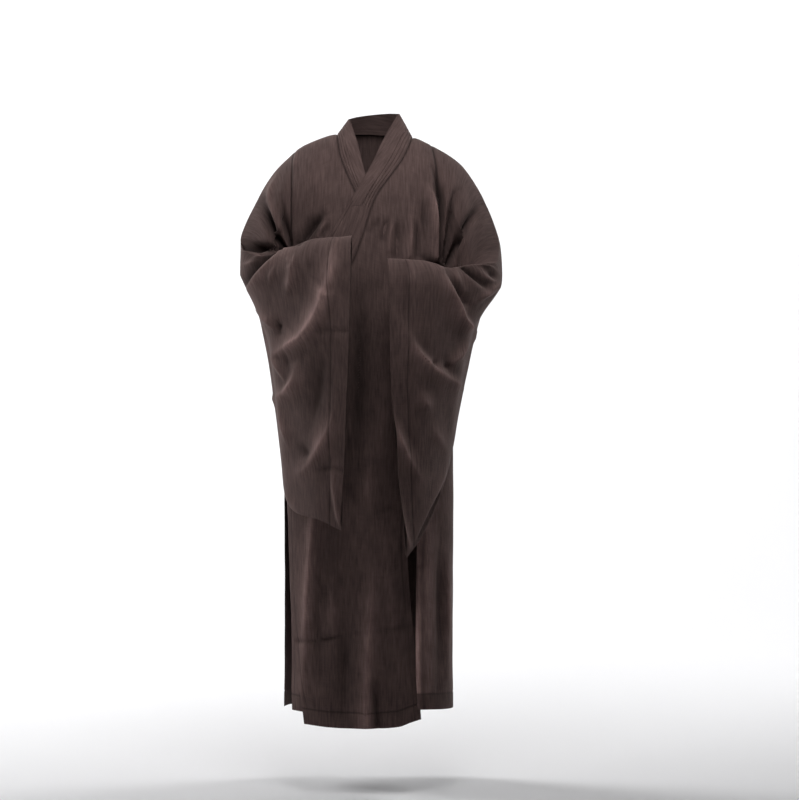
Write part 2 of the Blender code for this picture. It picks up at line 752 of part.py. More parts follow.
def folded(name, grid, wraps):
    """The grid with its largest folds raised."""
    if name not in FOLDS:
        return grid
    rise = fold_height(grid, FOLDS[name])
    if wraps:
        place = np.arange(grid.shape[1])
        half = grid.shape[1] // 2
        away = (place > 0) & (place < half) if name == "sleeve_left" else place > half
        rise = rise * away * np.clip(np.arange(len(grid)) / ENTRY_RINGS, 0, 1)[:, None]
    else:
        rise[:, [0, -1]] = 0.0
    return grid + grid_normals(grid, wraps) * rise[..., None]


def beside_edge(along, up, lift, inset=0.0):
    """Point near the outer front's edge below the collar: so far beyond it, up it and off the cloth."""
    k = UNDERARM_ROW + 1
    degrees = line_degrees(OUTER_LINE, k) - math.degrees(along / SIDE_CURVE)
    tangent = skin(degrees + 0.5, k, inset=inset) - skin(degrees - 0.5, k, inset=inset)
    normal = np.array([tangent[1], -tangent[0], 0.0]) / np.linalg.norm(tangent)
    return skin(degrees, k, inset=inset) + normal * lift + np.array([0.0, 0.0, up])


def side_fastening():
    """A knotted button on the under front and a cord loop on the outer front's edge round it."""
    lift = WALL + SEAM_GAP * 2 + LOOP_CORD
    path = [(-LOOP_LEG, LOOP_LEG_APART), (-LOOP_LEG / 2, LOOP_LEG_APART)]
    for turn in np.linspace(LOOP_TURN, -LOOP_TURN, LOOP_STEPS):
        angle = math.radians(turn)
        path.append((LOOP_BEYOND + LOOP_RADIUS * math.cos(angle), LOOP_RADIUS * math.sin(angle)))
    path += [(-LOOP_LEG / 2, -LOOP_LEG_APART), (-LOOP_LEG, -LOOP_LEG_APART)]
    curve = bpy.data.curves.new("side_loop", "CURVE")
    curve.dimensions = "3D"
    curve.bevel_depth = LOOP_CORD
    curve.bevel_resolution = 1
    curve.use_fill_caps = True
    spline = curve.splines.new("POLY")
    spline.points.add(len(path) - 1)
    for point, (along, up) in zip(spline.points, path):
        point.co = (*beside_edge(along, up, lift), 1.0)
    loop = bpy.data.objects.new("side_loop", curve)
    bpy.context.scene.collection.objects.link(loop)
    loop.data.materials.append(cloth_material("side_loop_cloth", CLOTH_COLOUR, CLOTH_ROUGHNESS))
    centre = beside_edge(LOOP_BEYOND, 0.0, WALL + SEAM_GAP * 2 + KNOT_RADIUS, UNDER_INSET)
    bpy.ops.mesh.primitive_ico_sphere_add(subdivisions=3, radius=KNOT_RADIUS, location=centre)
    knot = bpy.context.object
    knot.name = "side_knot"
    knot.data.shade_smooth()
    knot.data.materials.append(cloth_material("side_knot_cloth", CLOTH_COLOUR, CLOTH_ROUGHNESS))


def main():
    for obj in list(bpy.data.objects):
        bpy.data.objects.remove(obj, do_unlink=True)
    outer = outer_front_grid()
    under = under_front_grid()
    back = back_grid()
    right_armhole = np.concatenate([under[: UNDERARM_ROW + 1, 0], back[UNDERARM_ROW - 1 : 0 : -1, -1]])
    left_armhole = np.concatenate([outer[: UNDERARM_ROW + 1, -1], back[UNDERARM_ROW - 1 : 0 : -1, 0]])
    sleeve_right = sleeve_grid(SLEEVE_RIGHT, right_armhole)
    sleeve_left = np.roll(sleeve_grid(SLEEVE_LEFT, left_armhole)[:, ::-1], 1, axis=1)
    grids = {
        "front_left": (outer, False),
        "front_right": (under, False),
        "back": (back, False),
        "sleeve_right": (sleeve_right, True),
        "sleeve_left": (sleeve_left, True),
        "collar_band": (collar_grid(outer, under, back), False),
    }
    grids = {name: (folded(name, grid, wraps), wraps) for name, (grid, wraps) in grids.items()}
    normals = shared_normals(grids)
    for name, (grid, wraps) in grids.items():
        outward = even(grid, WALL)
        inward = even(grid, 0.0)
        if name == "collar_band":
            outward = collar_walls(grid)
        elif wraps:
            inward[-2:] = HEM_EXTRA
        else:
            inward[LAST_ROW - 1 :] = HEM_EXTRA
        wall_object(name, drawn_back(grid, normals[name], wraps), normals[name], outward, inward, wraps)
    collar = grids["collar_band"][0]
    guard = guard_grid(collar, normals["collar_band"], collar_walls(collar))
    guard_normals = grid_normals(guard, False)
    wall_object("collar_guard", guard, guard_normals, even(guard, GUARD_WALL), even(guard, 0.0))
    side_fastening()


main()
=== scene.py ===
"""Cloth, creases, stitching and finish of a long cross-collar robe with wide sleeves.

Metres, +Z up, the front faces -Y and the wearer's left is +X. The panels are laid out by the same
ring sections as the solids they stand for, with many more rows and columns, then creased.
"""

import math
from collections import namedtuple

import bpy
import numpy as np
from bpy.props import FloatProperty, FloatVectorProperty, PointerProperty
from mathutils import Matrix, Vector


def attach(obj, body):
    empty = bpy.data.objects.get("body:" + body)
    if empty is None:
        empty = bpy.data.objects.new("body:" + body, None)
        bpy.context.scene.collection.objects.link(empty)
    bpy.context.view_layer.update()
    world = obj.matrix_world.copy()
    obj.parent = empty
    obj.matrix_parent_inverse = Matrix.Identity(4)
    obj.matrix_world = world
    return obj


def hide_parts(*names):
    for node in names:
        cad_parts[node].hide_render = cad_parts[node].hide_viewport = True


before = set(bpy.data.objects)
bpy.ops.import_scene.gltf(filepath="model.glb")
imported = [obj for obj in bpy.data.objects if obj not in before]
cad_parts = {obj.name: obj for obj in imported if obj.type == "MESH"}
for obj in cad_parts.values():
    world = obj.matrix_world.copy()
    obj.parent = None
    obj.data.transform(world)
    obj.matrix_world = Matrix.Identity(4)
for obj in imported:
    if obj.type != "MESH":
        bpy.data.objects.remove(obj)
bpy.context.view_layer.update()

bl_info = {
    "name": "Cross-collar robe",
    "version": (1, 0, 0),
    "blender": (4, 5, 0),
    "location": "3D View > Sidebar > Robe",
    "description": "Builds the cloth of a long robe with wide sleeves, its stitching and a plain studio",
    "category": "Object",
}

# ---- Sizes of the cut, as the solids have them ----

# How far the outer face of the cloth and of the collar stands off their skin, and the guard off the collar.
WALL = 0.0017
COLLAR_WALL = 0.0026
GUARD_GAP = 0.0003

# Where the shoulders start to round over and how squarely, their ridge, the underarm and the slits' tops.
ROUND_FROM = -0.16
ROUND_POWER = 2.2
SHOULDER_Y = 0.004
UNDERARM_Z = -0.40
SLIT_TOP = -0.72

# Depth of the turned hems, and of the turned cuff as a share of a sleeve's last section.
HEM_DEPTH = 0.034
CUFF_SHARE = 0.48

# The under front lies this far inside the skin, less so this near its seam; the back's left edge too.
UNDER_INSET = 0.0052
INSET_FADE_DEG = 26.0
UNDERLAP_INSET = 0.006
UNDERLAP_DEG = 5.0

# How far down a sleeve's loop its middle is given.
MID_LEVEL = 0.40

# Rows down the body and columns across its panels, rings along a sleeve, and the sunk line of a hem.
ROUND_ROWS = 60
CHEST_ROWS = 84
WAIST_ROWS = 60
SKIRT_ROWS = 110
HEM_ROWS = 8
FRONT_COLUMNS = 80
BACK_COLUMNS = 60
NECK_COLUMNS = 28
UNDER_COLLAR_ROWS = 108
RINGS_PER_SECTION = 20
GROOVE_HALF = 0.0016

# Ends of the neck seam, how far behind them and above them it bows, and the same for the collar's edge.
NECK_LEFT_X = 0.0902
NECK_RIGHT_X = -0.0728
BACK_NECK_DEPTH = 0.056
BACK_NECK_RISE = 0.012
BACK_EDGE_DEPTH = 0.047
BACK_EDGE_RISE = 0.009


def table(names, *rows):
    """A short table as one array per named column."""
    return {name: np.array(column, float) for name, column in zip(names.split(), zip(*rows))}


def metres(columns, shares=()):
    """A table given in millimetres, in metres but for its columns of shares."""
    return {name: column if name in shares else column / 1000 for name, column in columns.items()}


# Worn section of the body, bottom to top: half width, depth before and behind the centre, squareness.
BODY = table(
    "z centre_x half_width front back square",
    (-1.290, -0.0055, 0.1842, 0.143, 0.136, 2.3),
    (-1.000, -0.0055, 0.1842, 0.136, 0.130, 2.3),
    (-0.750, -0.0055, 0.1842, 0.128, 0.124, 2.3),
    (-0.550, -0.0055, 0.1834, 0.122, 0.112, 2.3),
    (-0.400, -0.0055, 0.1860, 0.122, 0.102, 2.4),
    (-0.300, -0.0055, 0.1920, 0.124, 0.104, 2.4),
    (-0.160, -0.0055, 0.1950, 0.118, 0.100, 2.4),
)

# Ridge of the shoulders from the wearer's right to the left.
SHOULDER = table(
    "x z",
    (-0.2000, -0.0636),
    (-0.1759, -0.0415),
    (-0.1407, -0.0195),
    (-0.0728, 0.0040),
    (0.0902, -0.0040),
    (0.1276, -0.0195),
    (0.1693, -0.0415),
    (0.1913, -0.0636),
)

# Where the sleeve seams run, in degrees round the body from the middle of the front.
ARMHOLE = table(
    "z right_deg left_deg",
    (-0.400, 90.0, 90.0),
    (-0.375, 74.0, 71.0),
    (-0.330, 62.0, 57.0),
    (-0.260, 56.0, 50.0),
    (-0.155, 55.5, 49.5),
    (-0.090, 54.5, 46.5),
    (-0.015, 52.0, 40.5),
)

# Side seam and slit on the wearer's left, which the wrap pulls round to the front.
LEFT_SLIT = table(
    "z front_deg back_deg",
    (-1.290, 35.4, 33.4),
    (-1.240, 34.0, 32.6),
    (-1.190, 32.6, 31.8),
    (-1.117, 30.0, 31.7),
    (-1.045, 27.4, 32.0),
    (-0.970, 25.4, 32.2),
    (-0.915, 24.3, 32.0),
    (-0.850, 24.5, 31.0),
    (-0.780, 27.5, 30.6),
    (-0.720, 33.0, 33.0),
    (-0.600, 47.0, 47.0),
    (-0.500, 67.0, 67.0),
    (-0.400, 90.0, 90.0),
)

# Slit on the wearer's right: the under front's edge and the back's edge.
RIGHT_SLIT = table(
    "z front_deg back_deg",
    (-1.290, 63.0, 95.0),
    (-1.080, 65.0, 95.0),
    (-0.970, 69.0, 95.0),
    (-0.860, 73.0, 95.0),
    (-0.780, 80.0, 93.0),
    (-0.720, 90.0, 90.0),
    (-0.400, 90.0, 90.0),
)

# Line where the outer front meets the collar, then its free edge down the wearer's right.
OUTER_LINE = table(
    "z x",
    (-1.290, -0.1390),
    (-1.236, -0.1454),
    (-1.180, -0.1530),
    (-1.126, -0.1590),
    (-0.980, -0.1710),
    (-0.810, -0.1770),
    (-0.650, -0.1740),
    (-0.550, -0.1640),
    (-0.440, -0.1330),
    (-0.360, -0.0850),
    (-0.2845, -0.0385),
    (-0.2173, -0.0133),
    (-0.1555, 0.0061),
    (-0.0526, 0.0718),
    (-0.0040, 0.0902),
)

# The same for the under front, whose inner edge is hidden.
UNDER_LINE = table(
    "z x",
    (-1.290, 0.0600),
    (-0.600, 0.0700),
    (-0.400, 0.0740),
    (-0.300, 0.0500),
    (-0.200, 0.0050),
    (-0.1117, -0.0412),
    (-0.0411, -0.0663),
    (0.0040, -0.0728),
)

# Neck edge of the collar beside each height of its seam, and how far it stands before the chest.
OUTER_EDGE = table(
    "seam_z x z forward",
    (-0.400, -0.1590, -0.3560, 0.0),
    (-0.344, -0.1360, -0.3044, 0.0),
    (-0.2845, -0.1012, -0.2455, 0.0),
    (-0.2173, -0.0639, -0.1860, 0.0),
    (-0.1555, -0.0312, -0.1328, 0.0),
    (-0.0900, 0.0052, -0.0668, 0.0),
    (-0.0526, 0.0229, -0.0246, 0.002),
    (-0.0250, 0.0420, 0.0152, 0.034),
    (-0.0040, 0.0605, 0.0520, 0.0),
)
UNDER_EDGE = table(
    "seam_z x z forward",
    (-0.300, 0.0815, -0.2850, 0.0),
    (-0.200, 0.0360, -0.1840, 0.0),
    (-0.1117, -0.0082, -0.1000, 0.0),
    (-0.0411, -0.0290, -0.0180, 0.0),
    (-0.0150, -0.0375, 0.0090, 0.026),
    (0.0040, -0.0473, 0.0400, 0.0),
)

# Sewn tucks along the collar: where each lies as a share of the width from the seam, its half width as
# a share, its depth, and 1 if it shows above the height where the tucks end, 0 if it shows below it.
TUCKS = table(
    "share spread depth above",
    (0.130, 0.011, 0.0009, 1),
    (0.260, 0.011, 0.0009, 1),
    (0.400, 0.011, 0.0009, 1),
    (0.880, 0.012, 0.0007, 0),
)
TUCK_END_Z = -0.1760

TUCK_ASIDE = 0.022
COLLAR_LINES = 27

# Lines across the collar: even ones, and three more at each tuck.
COLLAR_SHARES = np.unique([
    *np.linspace(0.0, 1.0, COLLAR_LINES),
    *(share + aside for share in TUCKS["share"] for aside in (-TUCK_ASIDE, 0.0, TUCK_ASIDE)),
])
EDGE_SMOOTHING = 60
OUTLINE_SMOOTHING = 6

GUARD_FROM = 0.43
GUARD_TO = 0.85
GUARD = table(
    "share low_z top_z",
    (0.0, -0.1740, -0.1210),
    (0.5, -0.1800, -0.1150),
    (1.0, -0.1880, -0.1300),
)
GUARD_LINES = 44
GUARD_COLUMNS = 22

# Height of the back's hem round the body, in degrees from the middle of the front by the left.
BACK_HEM = table("deg z", (30.0, -1.238), (90.0, -1.2514), (180.0, -1.262), (270.0, -1.2536))
OUTER_HEM = -1.2765
UNDER_HEM = -1.2480

# Hem of the outer front across it, rising a little to both of its corners.
OUTER_HEM_LINE = table(
    "x z",
    (-0.1400, -1.2725),
    (-0.0600, -1.2765),
    (0.0200, -1.2765),
    (0.0600, -1.2745),
    (0.0860, -1.2665),
    (0.1060, -1.2610),
)

# Sections of each sleeve from the armhole to the mouth, in millimetres. Each is a hanging loop: its top
# on the arm, the layers that face the body (in) and away (out) at the arm and half way down, and its
# bottom fold.
SECTION = (
    "top_x top_y top_z drop in_x in_y out_x out_y"
    " mid_in_x mid_in_y mid_out_x mid_out_y low_x low_y low_z"
)


def sections(*rows):
    return metres(table(SECTION, *rows))


SLEEVE_RIGHT = sections(
    (-167, 4, -36, 120, -170, -78, -170, 72, -172, -78, -172, 72, -191.5, 0, -400),
    (-216, 2, -86, 120, -197, -80, -208, 72, -198, -74, -216, 64, -214, 4, -428),
    (-255, 0, -152, 100, -214, -80, -249, 62, -206, -72, -240, 48, -215, 2, -510),
    (-285, -6, -226, 60, -222, -82, -288, 38, -204, -78, -243, 20, -199, -12, -640),
    (-276, -52, -254, 50, -216, -88, -286, -10, -196, -86, -222, -34, -191, -40, -745),
    (-228, -108, -270, 50, -184, -94, -247, -98, -178, -104, -208, -96, -180, -78, -797),
    (-177, -152, -262, 50, -142, -126, -196, -154, -145, -132, -174, -146, -156, -120, -819.5),
    (-110, -205, -242, 50, -90, -172, -128, -218, -96, -172, -118, -206, -108, -178, -828.5),
    (-35.6, -250, -240.5, 50, -37, -196, -38, -262, -43, -196, -43, -246, -58.3, -210, -850),
)
SLEEVE_LEFT = sections(
    (130, 4, -21, 130, 146, -86, 146, 74, 150, -86, 150, 74, 180.5, 0, -400),
    (192, 2, -58, 120, 178, -86, 191, 74, 182, -78, 203, 62, 204, 4, -428),
    (243, 0, -134, 110, 203, -84, 236, 62, 196, -74, 232, 44, 202, 0, -505),
    (279, -6, -236, 60, 212, -86, 289, 38, 196, -80, 243, 14, 190, -16, -590),
    (270, -56, -282, 50, 206, -94, 283, -14, 190, -92, 221, -42, 181, -48, -665),
    (215, -116, -290, 50, 174, -104, 238, -106, 170, -114, 202, -106, 164, -90, -735),
    (165, -160, -300, 50, 134, -136, 186, -162, 138, -142, 168, -154, 142, -130, -800),
    (105, -212, -288.5, 50, 90, -178, 124, -224, 92, -180, 114, -212, 108, -180, -868),
    (37.9, -250, -287, 50, 41, -198, 41, -262, 46, -198, 45, -246, 76.7, -215, -907),
)

# ---- Creases ----

# Each crease is an arc through three points as seen from the front (or, for the rear tables, the same
# x and z behind), in millimetres: its height, the half widths on its two sides going down it, and its
# strength at the two ends as a share of the middle's.
CREASE = "x z mid_x mid_z end_x end_z height side other start end"


def creases(*rows):
    return metres(table(CREASE, *rows), ("start", "end"))


CREASES = {
    "upper": creases(
        (-200, -88, -215, -125, -215, -160, 5, 4, 7, 0.2, 0.7),
        (-215, -158, -202, -203, -180, -253, 6, 4, 5, 0.7, 0.5),
        (-232, -143, -215, -194, -185, -253, -13, 5, 7, 0.2, 0.9),
        (-193, -138, -184, -194, -175, -251, -9, 4, 4, 0.2, 0.9),
        (-281, -244, -240, -251, -184, -255, -12, 6, 3, 0.7, 0.6),
        (-102, -182, -121, -205, -152, -245, -13, 6, 8, 0.3, 0.9),
        (-93, -189, -102, -208, -110, -227, 4, 3, 3, 0.3, 0.7),
        (-88, -197, -95, -212, -103, -227, -4, 3, 3, 0.2, 0.8),
        (-149, -226, -151, -237, -154, -247, 3, 3, 3, 0.3, 0.5),
        (-154, -33, -162, -58, -165, -95, 2, 4, 4, 0.3, 0.1),
        (116, -116, 139, -164, 144, -271, 6, 3, 8, 0.1, 0.7),
        (116, -141, 116, -180, 118, -231, -4, 6, 5, 0.1, 0.3),
        (131, -76, 149, -143, 152, -271, -9, 5, 3, 0.2, 0.9),
        (177, -126, 166, -167, 161, -234, 4, 3, 4, 0.2, 0.4),
        (189, -124, 173, -165, 163, -281, -8, 4, 4, 0.2, 0.9),
        (210, -180, 195, -234, 177, -284, 4, 4, 3, 0.1, 0.6),
        (243, -150, 206, -204, 171, -284, -11, 4, 5, 0.2, 0.9),
        (87, -167, 88, -223, 84, -271, 5, 5, 5, 0.1, 0.6),
        (100, -180, 102, -227, 102, -270, -5, 4, 4, 0.1, 0.7),
        (60, -187, 60, -224, 57, -271, -5, 4, 4, 0.1, 0.7),
        (51, -190, 44, -220, 40, -258, 3, 3, 3, 0.1, 0.5),
        (45, -183, 33, -207, 27, -237, -4, 4, 4, 0.1, 0.7),
        (21, -185, 10, -205, 0, -220, -3, 4, 4, 0.1, 0.7),
        (107, -270, 137, -286, 171, -294, -6, 5, 3, 0.3, 0.8),
    ),
    "sleeve_right": creases(
        (-97, -464, -106, -547, -121, -637, -6, 14, 14, 0.2, 0.2),
        (-71, -251, -75, -309, -90, -358, 9, 7, 16, 0.3, 1),
        (-90, -358, -102, -397, -127, -439, 13, 9, 17, 1, 1),
        (-127, -439, -153, -457, -199, -480, 11, 12, 14, 1, 0.4),
        (-177, -262, -227, -289, -274, -337, 8, 22, 3, 0.7, 0.5),
        (-200, -266, -237, -294, -275, -331, -14, 3, 8, 0.8, 0.7),
        (-213, -272, -232, -266, -248, -276, 4, 3, 3, 0.3, 0.4),
        (-243, -276, -260, -284, -283, -282, 3, 3, 3, 0.5, 0.3),
        (-174, -269, -167, -284, -162, -301, 4, 4, 4, 0.5, 0.9),
        (-152, -266, -155, -283, -162, -301, 4, 4, 4, 0.5, 0.9),
        (-162, -299, -163, -327, -174, -359, 6, 5, 7, 0.9, 0.1),
        (-183, -274, -204, -305, -215, -349, 4, 8, 8, 0.3, 0.1),
        (-248, -379, -221, -405, -198, -425, 7, 12, 4, 0.6, 0.5),
        (-200, -413, -192, -421, -189, -432, -7, 5, 5, 0.2, 0.4),
        (-221, -468, -198, -502, -176, -540, 6, 9, 3, 0.6, 0.4),
        (-184, -462, -182, -494, -174, -528, 2, 3, 3, 0.2, 0.2),
        (-176, -462, -174, -487, -167, -517, -2, 3, 3, 0.2, 0.2),
        (-208, -574, -167, -553, -153, -507, 9, 8, 15, 0.5, 0.3),
        (-201, -587, -184, -636, -174, -679, 6, 9, 6, 0.5, 0.2),
        (-72, -589, -93, -664, -142, -731, 9, 14, 16, 0.2, 0.4),
        (-148, -663, -135, -688, -128, -705, -6, 12, 12, 0.2, 0.3),
        (-78, -717, -72, -767, -59, -848, 5, 9, 3, 0.6, 0.8),
        (-108, -726, -89, -722, -76, -720, -3, 3, 3, 0.3, 0.8),
        (-76, -719, -61, -725, -51, -729, -2, 2, 2, 0.8, 0.8),
        (-124, -436, -82, -436, -40, -436, -2.5, 2, 2, 0.2, 0.8),
        (-183, -789, -168, -809, -150, -824, 4, 6, 5, 0.3, 0.3),
    ),
    "sleeve_left": creases(
        (148, -306, 173, -349, 193, -398, 9, 4, 15, 0.4, 1),
        (193, -398, 206, -416, 228, -428, 8, 4, 12, 1, 0.4),
        (160, -314, 180, -349, 200, -373, -8, 7, 3, 0.4, 0.4),
        (179, -297, 182, -319, 197, -346, 4, 5, 5, 0.4, 0.2),
        (148, -302, 179, -277, 196, -294, 4, 3, 6, 0.4, 0.5),
        (201, -279, 231, -263, 262, -247, -10, 5, 3, 0.6, 0.4),
        (207, -293, 236, -284, 272, -299, 4, 4, 4, 0.4, 0.3),
        (235, -300, 249, -316, 277, -322, 4, 4, 4, 0.3, 0.3),
        (196, -296, 219, -314, 251, -338, -10, 5, 4, 0.6, 0.4),
        (191, -296, 217, -319, 246, -340, 4, 3, 8, 0.5, 0.2),
        (249, -299, 260, -309, 275, -316, -4, 4, 4, 0.2, 0.2),
        (277, -328, 253, -346, 224, -371, 7, 7, 5, 0.4, 0.2),
        (273, -342, 254, -358, 235, -370, -4, 4, 3, 0.3, 0.2),
        (73, -423, 112, -493, 187, -546, 9, 8, 16, 0.2, 0.5),
        (87, -435, 114, -476, 139, -501, -3, 7, 6, 0.1, 0.5),
        (126, -493, 133, -501, 139, -511, -6, 5, 5, 0.3, 0.3),
        (159, -496, 163, -507, 165, -517, -6, 5, 5, 0.3, 0.3),
        (232, -432, 199, -471, 161, -514, 7, 8, 6, 0.5, 0.4),
        (225, -450, 206, -473, 192, -493, -4, 6, 4, 0.4, 0.2),
        (150, -518, 169, -529, 185, -542, 3, 4, 4, 0.3, 0.3),
        (98, -560, 114, -583, 128, -604, 4, 10, 10, 0.2, 0.2),
        (47, -587, 62, -666, 108, -746, 8, 8, 12, 0.1, 0.2),
        (55, -768, 65, -831, 81, -889, 5, 4, 6, 0.4, 0.8),
        (169, -696, 140, -782, 97, -873, 3, 2, 6, 0.3, 0.8),
        (155, -758, 131, -813, 99, -879, -8, 3, 3, 0.2, 0.9),
        (150, -764, 150, -780, 150, -795, 2, 2, 2, 0.4, 0.4),
        (125, -631, 144, -659, 164, -690, 3, 9, 9, 0.2, 0.4),
        (72, -297, 76, -341, 74, -423, -2, 2, 2, 0.8, 0.5),
        (80, -292, 87, -320, 89, -361, 3, 6, 6, 0.5, 0.1),
    ),
    "fronts": creases(
        (15, -887, -1, -1072, -6, -1267, 8, 10, 14, 0.1, 1),
        (5, -1148, 11, -1212, 15, -1267, -7, 5, 4, 0.1, 1),
        (-112, -750, -127, -964, -142, -1200, 8.5, 17, 14, 0.8, 0.4),
        (-103, -878, -105, -984, -107, -1091, -3, 12, 12, 0.1, 0.1),
        (-114, -921, -109, -1048, -105, -1176, -4, 8, 9, 0.2, 0.2),
        (-86, -920, -79, -1026, -72, -1153, 3, 9, 9, 0.1, 0.1),
        (-153, -1097, -92, -1088, -26, -1070, -5, 3, 3, 0.5, 0.3),
        (4, -1070, 47, -1066, 83, -1058, -2.5, 3, 3, 0.3, 0.6),
        (8, -822, 32, -813, 55, -807, -2.5, 3, 3, 0.3, 0.6),
        (-19, -284, -24, -515, -30, -728, -9, 15, 10, 0.1, 0.3),
        (38, -493, 27, -600, 21, -707, 3, 14, 14, 0.1, 0.2),
        (-51, -1004, -53, -1132, -57, -1242, -5, 16, 16, 0.1, 0.6),
        (-54, -728, -43, -771, -28, -817, -3, 6, 6, 0.3, 0.1),
        (0, -643, -4, -749, 4, -856, 4, 9, 9, 0.2, 0.2),
        (-39, -579, -45, -685, -51, -792, -3, 10, 9, 0.1, 0.2),
        (32, -834, 42, -983, 60, -1175, 3, 8, 8, 0.1, 0.2),
    ),
    "back": creases(
        (-108, -550, -91, -905, -98, -1262, 9, 30, 38, 0.3, 1),
        (-20, -620, -16, -940, 8, -1262, 8, 34, 24, 0.2, 1),
        (100, -500, 109, -880, 90, -1262, 9, 26, 38, 0.2, 1),
        (50, -150, 56, -265, 70, -380, 5, 20, 16, 0.2, 0.3),
        (-70, -170, -76, -285, -90, -400, 5, 16, 22, 0.2, 0.3),
        (-55, -700, -60, -950, -48, -1262, -4, 12, 10, 0.1, 0.9),
        (45, -660, 52, -930, 47, -1262, -4, 10, 13, 0.1, 0.9),
        (-145, -600, -150, -800, -140, -1200, 5, 10, 12, 0.1, 0.7),
        (0, -200, 4, -360, -4, -560, -3, 12, 12, 0.1, 0.1),
        (-140, -430, -60, -455, 20, -440, -2, 8, 8, 0.3, 0.1),
        (-140, -930, 0, -936, 120, -930, -1.2, 3, 3, 0.8, 0.8),
        (162, -880, 163, -1010, 166, -1180, 6, 7, 6, 0.1, 0.3),
        (146, -820, 146, -990, 145, -1200, -6, 9, 8, 0.1, 0.5),
        (126, -820, 127, -900, 127, -1020, 4, 7, 6, 0.1, 0.1),
    ),
    "rear": creases(
        (-165, -100, -170, -220, -180, -360, -6, 7, 9, 0.2, 0.7),
        (-200, -130, -205, -230, -190, -370, 5, 6, 6, 0.2, 0.5),
        (-225, -170, -218, -270, -195, -390, -6, 6, 7, 0.2, 0.6),
        (-150, -300, -110, -360, -60, -390, 4, 10, 12, 0.3, 0.1),
        (160, -110, 168, -210, 175, -370, -6, 8, 7, 0.2, 0.7),
        (190, -150, 196, -250, 186, -380, 5, 6, 6, 0.2, 0.5),
        (215, -160, 214, -280, 192, -400, -6, 7, 6, 0.2, 0.6),
        (145, -280, 100, -350, 50, -400, 4, 12, 10, 0.3, 0.1),
        (120, -90, 116, -200, 125, -310, 3, 12, 9, 0.1, 0.1),
        (-270, -250, -240, -270, -190, -250, 5, 6, 5, 0.5, 0.1),
        (-265, -290, -230, -315, -180, -300, 4, 6, 7, 0.4, 0.1),
        (270, -260, 240, -285, 190, -270, 5, 5, 7, 0.5, 0.1),
        (265, -300, 235, -330, 180, -330, 4, 7, 7, 0.4, 0.1),
    ),
    "sleeve_right_inner": creases(
        (-60, -300, -90, -400, -170, -470, -8, 16, 14, 0.3, 0.3),
        (-60, -500, -85, -620, -150, -700, -7, 16, 13, 0.2, 0.2),
        (-120, -350, -130, -450, -110, -560, 4, 12, 12, 0.1, 0.1),
        (-45, -620, -52, -730, -75, -800, -4, 10, 10, 0.2, 0.6),
    ),
    "sleeve_left_inner": creases(
        (65, -320, 100, -430, 180, -490, -8, 14, 16, 0.3, 0.3),
        (60, -520, 90, -660, 150, -750, -7, 13, 16, 0.2, 0.2),
        (130, -360, 140, -480, 115, -600, 4, 12, 12, 0.1, 0.1),
        (50, -660, 60, -780, 85, -850, -4, 10, 10, 0.2, 0.6),
    ),
}

# ---- Laying out the panels ----

# Height that the rows lead to at the shoulder ridge, and the passes that find where a seam crosses one.
RIDGE_Z = -0.02
SEAM_PASSES = 12

# Rows under the slits' tops that stay closed, and the run down which the back's edge slips under.
SLIT_EASE_ROWS = 4
UNDERLAP_RUN = 0.3

# Points of two panels that round to the same one of these steps in a metre are one point.
STEPS_A_METRE = 1e5

# Keeps a division clear of nothing.
TINY = 1e-30


def smooth(columns, key, name, where):
    """The named column at this value of the key column, along a curve with no overshoot."""
    x = columns[key]
    y = columns[name]
    where = np.clip(where, x[0], x[-1])
    step = np.diff(x)
    slope = np.diff(y) / step
    product = slope[:-1] * slope[1:]
    middle = np.where(product > 0, 2 * product / (slope[:-1] + slope[1:] + TINY), 0.0)
    tangent = np.concatenate([[slope[0]], middle, [slope[-1]]])
    i = np.clip(np.searchsorted(x, where) - 1, 0, len(step) - 1)
    t = (where - x[i]) / step[i]
    start = y[i] * (2 * t**3 - 3 * t**2 + 1) + tangent[i] * step[i] * (t**3 - 2 * t**2 + t)
    return start + y[i + 1] * (3 * t**2 - 2 * t**3) + tangent[i + 1] * step[i] * (t**3 - t**2)


def ease(value):
    value = np.clip(value, 0.0, 1.0)
    return value * value * (3 - 2 * value)


def unit(vectors):
    return vectors / np.maximum(np.linalg.norm(vectors, axis=-1, keepdims=True), TINY)


class Row:
    """One line across the body: a height below the rounded shoulders, or a share of the way over them."""

    def __init__(self, z, over=0.0, share=None, hem=None):
        self.z = z
        self.over = over
        self.depth = (1 - over**ROUND_POWER) ** (1 / ROUND_POWER)
        self.share = share
        self.hem = hem


def body_rows():
    rows = []
    for k in range(ROUND_ROWS):
        turn = math.pi / 2 * (1 - k / ROUND_ROWS)
        over = math.sin(turn) ** (2 / ROUND_POWER)
        rows.append(Row(ROUND_FROM * (1 - over) + RIDGE_Z * over, over))
    for k in range(CHEST_ROWS):
        rows.append(Row(ROUND_FROM + (UNDERARM_Z - ROUND_FROM) * k / CHEST_ROWS))
    for k in range(WAIST_ROWS):
        rows.append(Row(UNDERARM_Z + (SLIT_TOP - UNDERARM_Z) * k / WAIST_ROWS))
    skirt = SLIT_TOP - OUTER_HEM - HEM_DEPTH
    for share in [k / SKIRT_ROWS for k in range(SKIRT_ROWS)] + [1 - GROOVE_HALF / skirt]:
        rows.append(Row(SLIT_TOP - skirt * share, share=share))
    for hem in [0.0, GROOVE_HALF / HEM_DEPTH] + [k / HEM_ROWS for k in range(1, HEM_ROWS + 1)]:
        rows.append(Row(OUTER_HEM + HEM_DEPTH * (1 - hem), share=1.0, hem=hem))
    return rows


ROWS = body_rows()
UNDERARM_ROW = ROUND_ROWS + CHEST_ROWS
SLIT_ROW = UNDERARM_ROW + WAIST_ROWS


